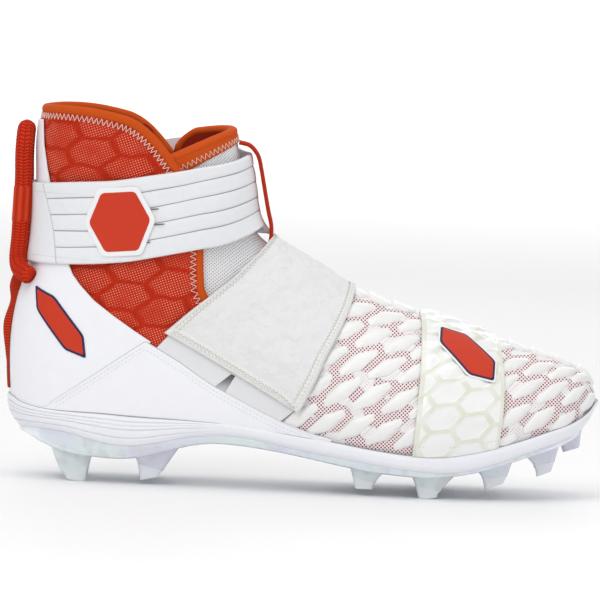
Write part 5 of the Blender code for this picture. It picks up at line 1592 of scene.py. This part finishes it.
PLATE = (
    (-0.03, 0.120), (0.033, 0.116), (0.060, 0.100), (0.093, 0.082), (0.145, 0.070), (0.220, 0.070),
    (0.280, 0.095), (0.313, 0.109), (0.347, 0.118), (0.380, 0.118), (0.449, 0.108), (0.500, 0.096),
    (0.567, 0.078), (0.617, 0.066), (0.670, 0.059), (0.713, 0.057), (0.753, 0.062), (0.797, 0.075),
    (0.850, 0.100), (0.900, 0.126), (0.937, 0.144), (0.957, 0.159), (0.973, 0.176), (0.990, 0.205),
    (1.03, 0.270),
)
PLATE_RINGS = (  # as MIDSOLE_RINGS, from PLATE up to FOAM
    (0.00, -2.0, -8.0, -9.0), (0.15, 0.2, -5.4, -6.6), (0.45, 0.9, -4.4, -5.8), (1.00, 0.6, -4.4, -5.8),
)
STUDS = (
    # Base rear and front, tip rear and front, and tip up, as shares of LENGTH and HEIGHT; side as a share of
    # the half width; mm across; rear and front flare; slope of the tip and of its joint with the base.
    ("heel_rear", 0.078, 0.152, 0.108, 0.140, 0.000, 0.66, 6.5, 1.5, 1.2, -0.14, 0.30),
    ("heel_front", 0.220, 0.300, 0.232, 0.264, 0.016, 0.72, 6.5, 1.2, 2.4, 0.30, -0.30),
    ("arch_front", 0.583, 0.645, 0.594, 0.624, 0.018, 0.76, 6.5, 1.2, 2.4, 0.00, -0.25),
    ("ball", 0.686, 0.765, 0.701, 0.733, 0.000, 0.78, 7.5, 1.2, 2.6, 0.20, -0.25),
    ("ball_front", 0.796, 0.858, 0.812, 0.843, 0.037, 0.77, 6.5, 1.6, 1.3, 0.50, 0.10),
    ("toe_back", 0.874, 0.936, 0.899, 0.924, 0.071, 0.70, 6.0, 2.0, 1.2, 0.52, 0.20),
    ("toe", 0.926, 0.974, 0.944, 0.971, 0.131, 0.32, 5.5, 1.6, 1.0, 0.42, 0.00),
)


def half_sole(along):
    """Middle of the sole and half its width, this far along."""
    near = LOOP[:SOLE_STEPS]
    far = np.vstack([LOOP[:1], LOOP[:SOLE_STEPS - 2:-1]])
    outer = np.interp(-along, -near[:, 0], near[:, 1])
    inner = np.interp(-along, -far[:, 0], far[:, 1])
    return (outer + inner) / 2, (inner - outer) / 2


def build_outsole():
    table = np.array(PLATE_RINGS)
    levels = [ring_at(*smooth(table[:, 0], table[:, 1:], share), PLATE, FOAM, share)
              for share in np.linspace(1, 0, 17)]
    levels[0][:, 2] += 0.0002
    middle = levels[-1].mean(axis=0)
    for drawn, deep in ((0.985, 0.10), (0.955, 0.30), (0.80, 0.33)):
        inner = middle + (levels[-1] - middle) * (drawn, drawn - 0.06, 1)
        inner[:, 2] = (1 - deep) * line(PLATE, inner[:, 0]) + deep * line(FOAM, inner[:, 0])
        levels.append(inner)
    points = np.concatenate(levels)
    piece_of("outsole_plate", points, sole_faces(levels), "plate", ["outsole"],
             points[:, [0, 2]] * 1000)


def build_studs():
    """The studs' clear bases, in one piece, and the milky tips. A toe stud is so low that it is all base."""
    angles = np.linspace(0, 2 * PI, 40, endpoint=False)
    # Squares with round corners.
    c, w = (np.sign(v) * np.abs(v) ** 0.42 for v in (np.cos(angles), np.sin(angles)))
    bases, base_faces = [], []
    for name, *ends, tip_up, share, across, bend_rear, bend_front, tilt, slant in STUDS:
        rear, front, tip_rear, tip_front = np.array(ends) * LENGTH
        centre, half = half_sole((rear + front) / 2)
        middle = (tip_rear + tip_front) / 2
        lowest = float(line(PLATE, middle))
        tip = HEIGHT * tip_up
        whole = min(lowest, float(line(PLATE, rear))) - tip < 0.003
        for side, mark in ((-1, "outer"), (1, "inner")):
            y = float(centre + side * share * half)
            lean = -side * 0.0012

            def ring(level, grown=0.0):
                """From 0 at the tip's end to 1 in the plate, with the joint at a half."""
                back = tip_rear + (rear - tip_rear) * level**bend_rear - grown
                ahead = tip_front + (front - tip_front) * level**bend_front + grown
                thick = 0.0005 * across * (1 + 0.9 * level**1.6) + grown
                x = (back + ahead) / 2 + (ahead - back) / 2 * c
                low = tip + tilt * (x - middle) * 0.8
                low = np.maximum(low, tip) if tip_up == 0 else low
                joint = tip + 0.50 * (lowest - tip) + slant * (x - middle)
                top = line(PLATE, x) + 0.0012
                below, above = low + (joint - low) * level * 2, joint + (top - joint) * (level * 2 - 1)
                return np.column_stack([x, y + lean * level + thick * w, below if level < 0.5 else above])

            levels = [ring(level) for level in np.linspace(0.0 if whole else 0.46, 1.0, 12)]
            start = sum(len(part) for part in bases)
            bases.append(np.concatenate(levels))
            base_faces += (loop_faces(12, 40) + start)[:, ::-1].tolist()
            base_faces.append(tuple(range(start, start + 40))[::-1])
            if whole:
                continue
            levels = [ring(level, grown) for level, grown in (
                (0.0, -0.0008), (0.0, -0.0003), (0.03, -0.00005), (0.07, 0.0), (0.15, 0.0), (0.25, 0.0),
                (0.35, 0.0), (0.45, 0.0), (0.49, 0.00002), (0.5, -0.0002), (0.5, -0.0006))]
            points = np.concatenate(levels)
            faces = loop_faces(len(levels), 40)[:, ::-1].tolist()
            faces += [tuple(range(40))[::-1], tuple(range(len(points) - 40, len(points)))]
            piece_of(f"stud_tip_{name}_{mark}", points, faces, "tip", [f"stud_{name}_{mark}"],
                     points[:, [0, 2]] * 1000)
    points = np.concatenate(bases)
    piece_of("stud_bases", points, base_faces, "plate", (), points[:, [0, 2]] * 1000)


# Pulls


def curve_points(table, steps):
    """A smooth curve through the points of a table."""
    return smooth(np.linspace(0, 1, len(table)), table, np.linspace(0, 1, steps))


def tape_uv(long_mm, steps, across):
    """A tape's UV map, in mm along it and across it."""
    return np.stack(np.meshgrid(np.linspace(0, long_mm, steps), across * 1000, indexing="ij"), -1)


def build_heel_loop():
    half = np.array(HEEL_LOOP) * (LENGTH, HALF_BALL, HEIGHT)
    half[:, 0] += np.interp(half[:, 2], (0.105, 0.118, 0.150, 0.172), (0.0, 0.0012, 0.0022, 0.0014))
    path = spaced(curve_points(np.concatenate([half, half[-2::-1] * (1, -1, 1)]), 400), 0.0006)
    away = (1, 0, 0)
    side, lift = frames_along(path, away)
    gone = np.arange(len(path)) * 0.6

    def sides(angles):
        slant = np.abs((angles * 5 / PI) % 2 - 1)
        braid = 0.00012 * np.sin(gone[:, None] * 2 * PI / BRAID + 3.6 * (1 - slant[None]))
        reach = 0.0046 + braid
        return (side[:, None] * (np.cos(angles)[None] * reach)[..., None]
                + lift[:, None] * (np.sin(angles)[None] * reach)[..., None])

    sweep("heel_loop_cord", path, sides, "cord", ["heel_pull_loop"], count=28)
    for mark, way in (("outer", 1), ("inner", -1)):
        part = path[(path[:, 2] > 0.1285) & (path[:, 2] < 0.1475) & (path[:, 1] * way < 0)]
        side, lift = frames_along(part, away)
        wide = np.full(len(part), 0.0049)
        wide[[0, -1]] = 0.0043
        wide[[1, -2]] = 0.0048
        sweep(f"heel_loop_sleeve_{mark}", part, round_sides(side, lift, wide, wide), "sleeve",
              count=24)


def build_heel_webbing():
    out = curve_points(np.array(HEEL_WEBBING) * (LENGTH, HEIGHT), 110)
    rows = root(lambda row: bare(row, PI)[..., 2] - out[:, 1], np.full(110, 15.0), np.full(110, 26.0))
    across = np.linspace(-1, 1, 21) * 0.0075
    round_off = np.sqrt(np.clip(1 - (np.abs(across) / 0.00755) ** 6, 0, 1))
    outer, inner = [], []
    for place, row in zip(out, rows):
        back = last(row, PI, LAID + GAP + OVERLAY)
        curve = across**2 / 0.054
        deep = np.column_stack([back[0] + curve, across, np.full(21, place[1])])
        reach = np.minimum(place[0] + curve * 0.8, deep[:, 0] - 0.0008)
        outer.append(np.column_stack([deep[:, 0] - (deep[:, 0] - reach) * round_off, across, deep[:, 2]]))
        deep[:, 0] -= 0.0002
        inner.append(deep)
    shell("heel_webbing_tape", np.array(outer), np.array(inner), "webbing", "webbing", ["heel_webbing"],
          tape_uv(68, 110, across))


def build_tongue_pull():
    table = TONGUE_PULL[:-1] + ((0.4345, 0.694), (0.4345, 0.660), (0.4300, 0.632))
    path = curve_points(np.array(table) * (LENGTH, HEIGHT), 70)
    run = np.gradient(path, axis=0)
    run /= np.linalg.norm(run, axis=1, keepdims=True)
    out = np.column_stack([-run[:, 1], run[:, 0]])
    across = np.linspace(-0.0065, 0.0065, 15)
    thick = 0.0010 * np.sqrt(1 - (np.abs(across) / 0.00655) ** 8)
    grids = []
    for lift in (1, -1):
        grid = [[(p[0] + o[0] * t * lift, y, p[1] + o[1] * t * lift) for y, t in zip(across, thick)]
                for p, o in zip(path, out)]
        grids.append(np.array(grid))
    shell("tongue_pull_tape", *grids, "pull", "webbing", ["tongue_pull"], tape_uv(55, 70, across))


# Badges: plain long hexagons, where the real shoe carries its marks.


def badge(name, centre, long_mm, tall_mm, angle, out, looks, insets):
    """Stacked plates on the flat pattern, each drawn in from the one below it."""
    c, s = math.cos(angle), math.sin(angle)
    half = np.array([(1.0, 0.0), (0.55, 1.0), (-0.55, 1.0), (-1.0, 0.0), (-0.55, -1.0), (0.55, -1.0)])
    corners = half * (long_mm / 2, tall_mm / 2) @ np.array([[c, s], [-s, c]])
    rings = ((1.0, 0.0), (1.0, 0.25), (0.985, 0.34), (0.94, 0.36), (0.7, 0.38), (0.4, 0.38), (0.15, 0.38),
             (0.0, 0.38))
    for number, (inset, look) in enumerate(zip(insets, looks)):
        grid, height = rings_of(rounded_outline(corners, inset, 2, 4), np.array(centre), rings)
        row, turn = from_flat(grid)
        plate = Plates()
        plate.add(last(row, turn, out + 0.001 * (height + 0.16 * number)), grid)
        plate.piece(f"{name}_{number}", look)


def build_badges():
    badge("ankle_badge", from_view(54.5, 132.6), 35.0, 35.0, 0.10, ANKLE_LOW_SIDE + STRAP + 0.0003,
          ("badge_rim", "badge"), (0.0, 2.4))
    badge("band_badge", from_view(231.5, 71.5), 45.0, 17.5, -0.95, BAND_LOW + BAND + 0.0007,
          ("badge_rim", "badge_navy", "badge"), (-1.0, 0.0, 1.1))
    badge("heel_badge", from_view(26.5, 80.0), 44.0, 12.0, -0.88, LAID + OVERLAY + 0.0001,
          ("badge_navy", "badge"), (0.0, 1.1))


# Room


def build_room():
    """A pale floor that bends up into a wall behind the shoe, and five area lights."""
    look = Look("studio_floor", (0.92, 0.92, 0.925), 0.55)
    look.colour(look.mix(look.noise(90.0, 2.0), (0.915, 0.915, 0.92), (0.925, 0.925, 0.93)))
    look.bump((look.noise(1.2, 2.0), 0.01))
    wide, bend, wall, high = 12.0, 2.0, 9.0, 5.0
    curve = [(wall - bend + bend * math.sin(a), bend - bend * math.cos(a)) for a in np.linspace(0, PI / 2, 24)]
    profile = [(-wide, 0.0), *curve, (wall, high)]
    points = [(x, y, z) for y, z in profile for x in (-wide, wide)]
    faces = [(2 * i, 2 * i + 1, 2 * i + 3, 2 * i + 2) for i in range(len(profile) - 1)]
    mesh = bpy.data.meshes.new("studio_floor")
    mesh.from_pydata(points, [], faces)
    mesh.materials.append(look.material)
    mesh.polygons.foreach_set("use_smooth", np.full(len(mesh.polygons), True))
    floor = bpy.data.objects.new("studio_floor", mesh)
    bpy.context.scene.collection.objects.link(floor)
    world = bpy.data.worlds.new("studio")
    world.use_nodes = True
    colour, strength = world.node_tree.nodes["Background"].inputs[:2]
    colour.default_value = (1, 1, 1, 1)
    strength.default_value = 0.68
    bpy.context.scene.world = world
    bpy.context.scene.view_settings.view_transform = "Standard"
    for name, place, size, power in (
        ("key", (-0.55, -1.15, 1.25), 0.9, 7.0),
        ("fill", (1.05, -0.95, 0.75), 1.1, 2.0),
        ("top", (0.0, -0.1, 1.6), 1.0, 4.5),
        ("back", (0.3, 1.3, 0.9), 1.2, 1.2),
        ("backdrop", (0.0, 5.4, 2.4), 5.0, 95.0),
    ):
        lamp = bpy.data.lights.new(name, "AREA")
        lamp.size = size
        lamp.energy = power
        light = bpy.data.objects.new(name, lamp)
        light.location = place
        aim = Vector((0, 6.0, 0)) if name == "backdrop" else Vector((0, 0, 0.07))
        light.rotation_euler = (aim - Vector(place)).to_track_quat("-Z", "Y").to_euler()
        bpy.context.scene.collection.objects.link(light)


def build_camera():
    """The photograph is a side view from far away, a little above, with the shoe turned 2.5 degrees."""
    up, roll = math.radians(3.5), math.radians(2.5)
    lens, sensor = 500.0, 36.0
    pixels, pixel = 600, 0.0005076
    distance = pixels * pixel * lens / sensor
    # What the picture's middle shows, from the sole's heel end and the floor.
    along, high = 0.1465, 0.09475
    target = Vector((along, 0, high / math.cos(up))) + Vector(MOVE)
    look = Vector((0, math.cos(up), -math.sin(up)))
    data = bpy.data.cameras.new("camera")
    data.lens = lens
    data.sensor_width = sensor
    data.clip_end = 50
    camera = bpy.data.objects.new("camera", data)
    camera.location = target - look * distance
    turned = look.to_track_quat("-Z", "Y").to_matrix() @ Matrix.Rotation(roll, 3, "Z")
    camera.rotation_euler = turned.to_euler()
    bpy.context.scene.collection.objects.link(camera)
    bpy.context.scene.camera = camera


build_camera()
build_room()
build_outsole()
build_studs()
build_upper()
build_collar()
build_tongue()
build_counter()
build_panels()
build_anchor()
build_midfoot_strap()
build_band()
build_scales()
build_shingles()
build_ankle_strap()
build_midsole()
build_insole()
build_heel_loop()
build_heel_webbing()
build_tongue_pull()
build_badges()
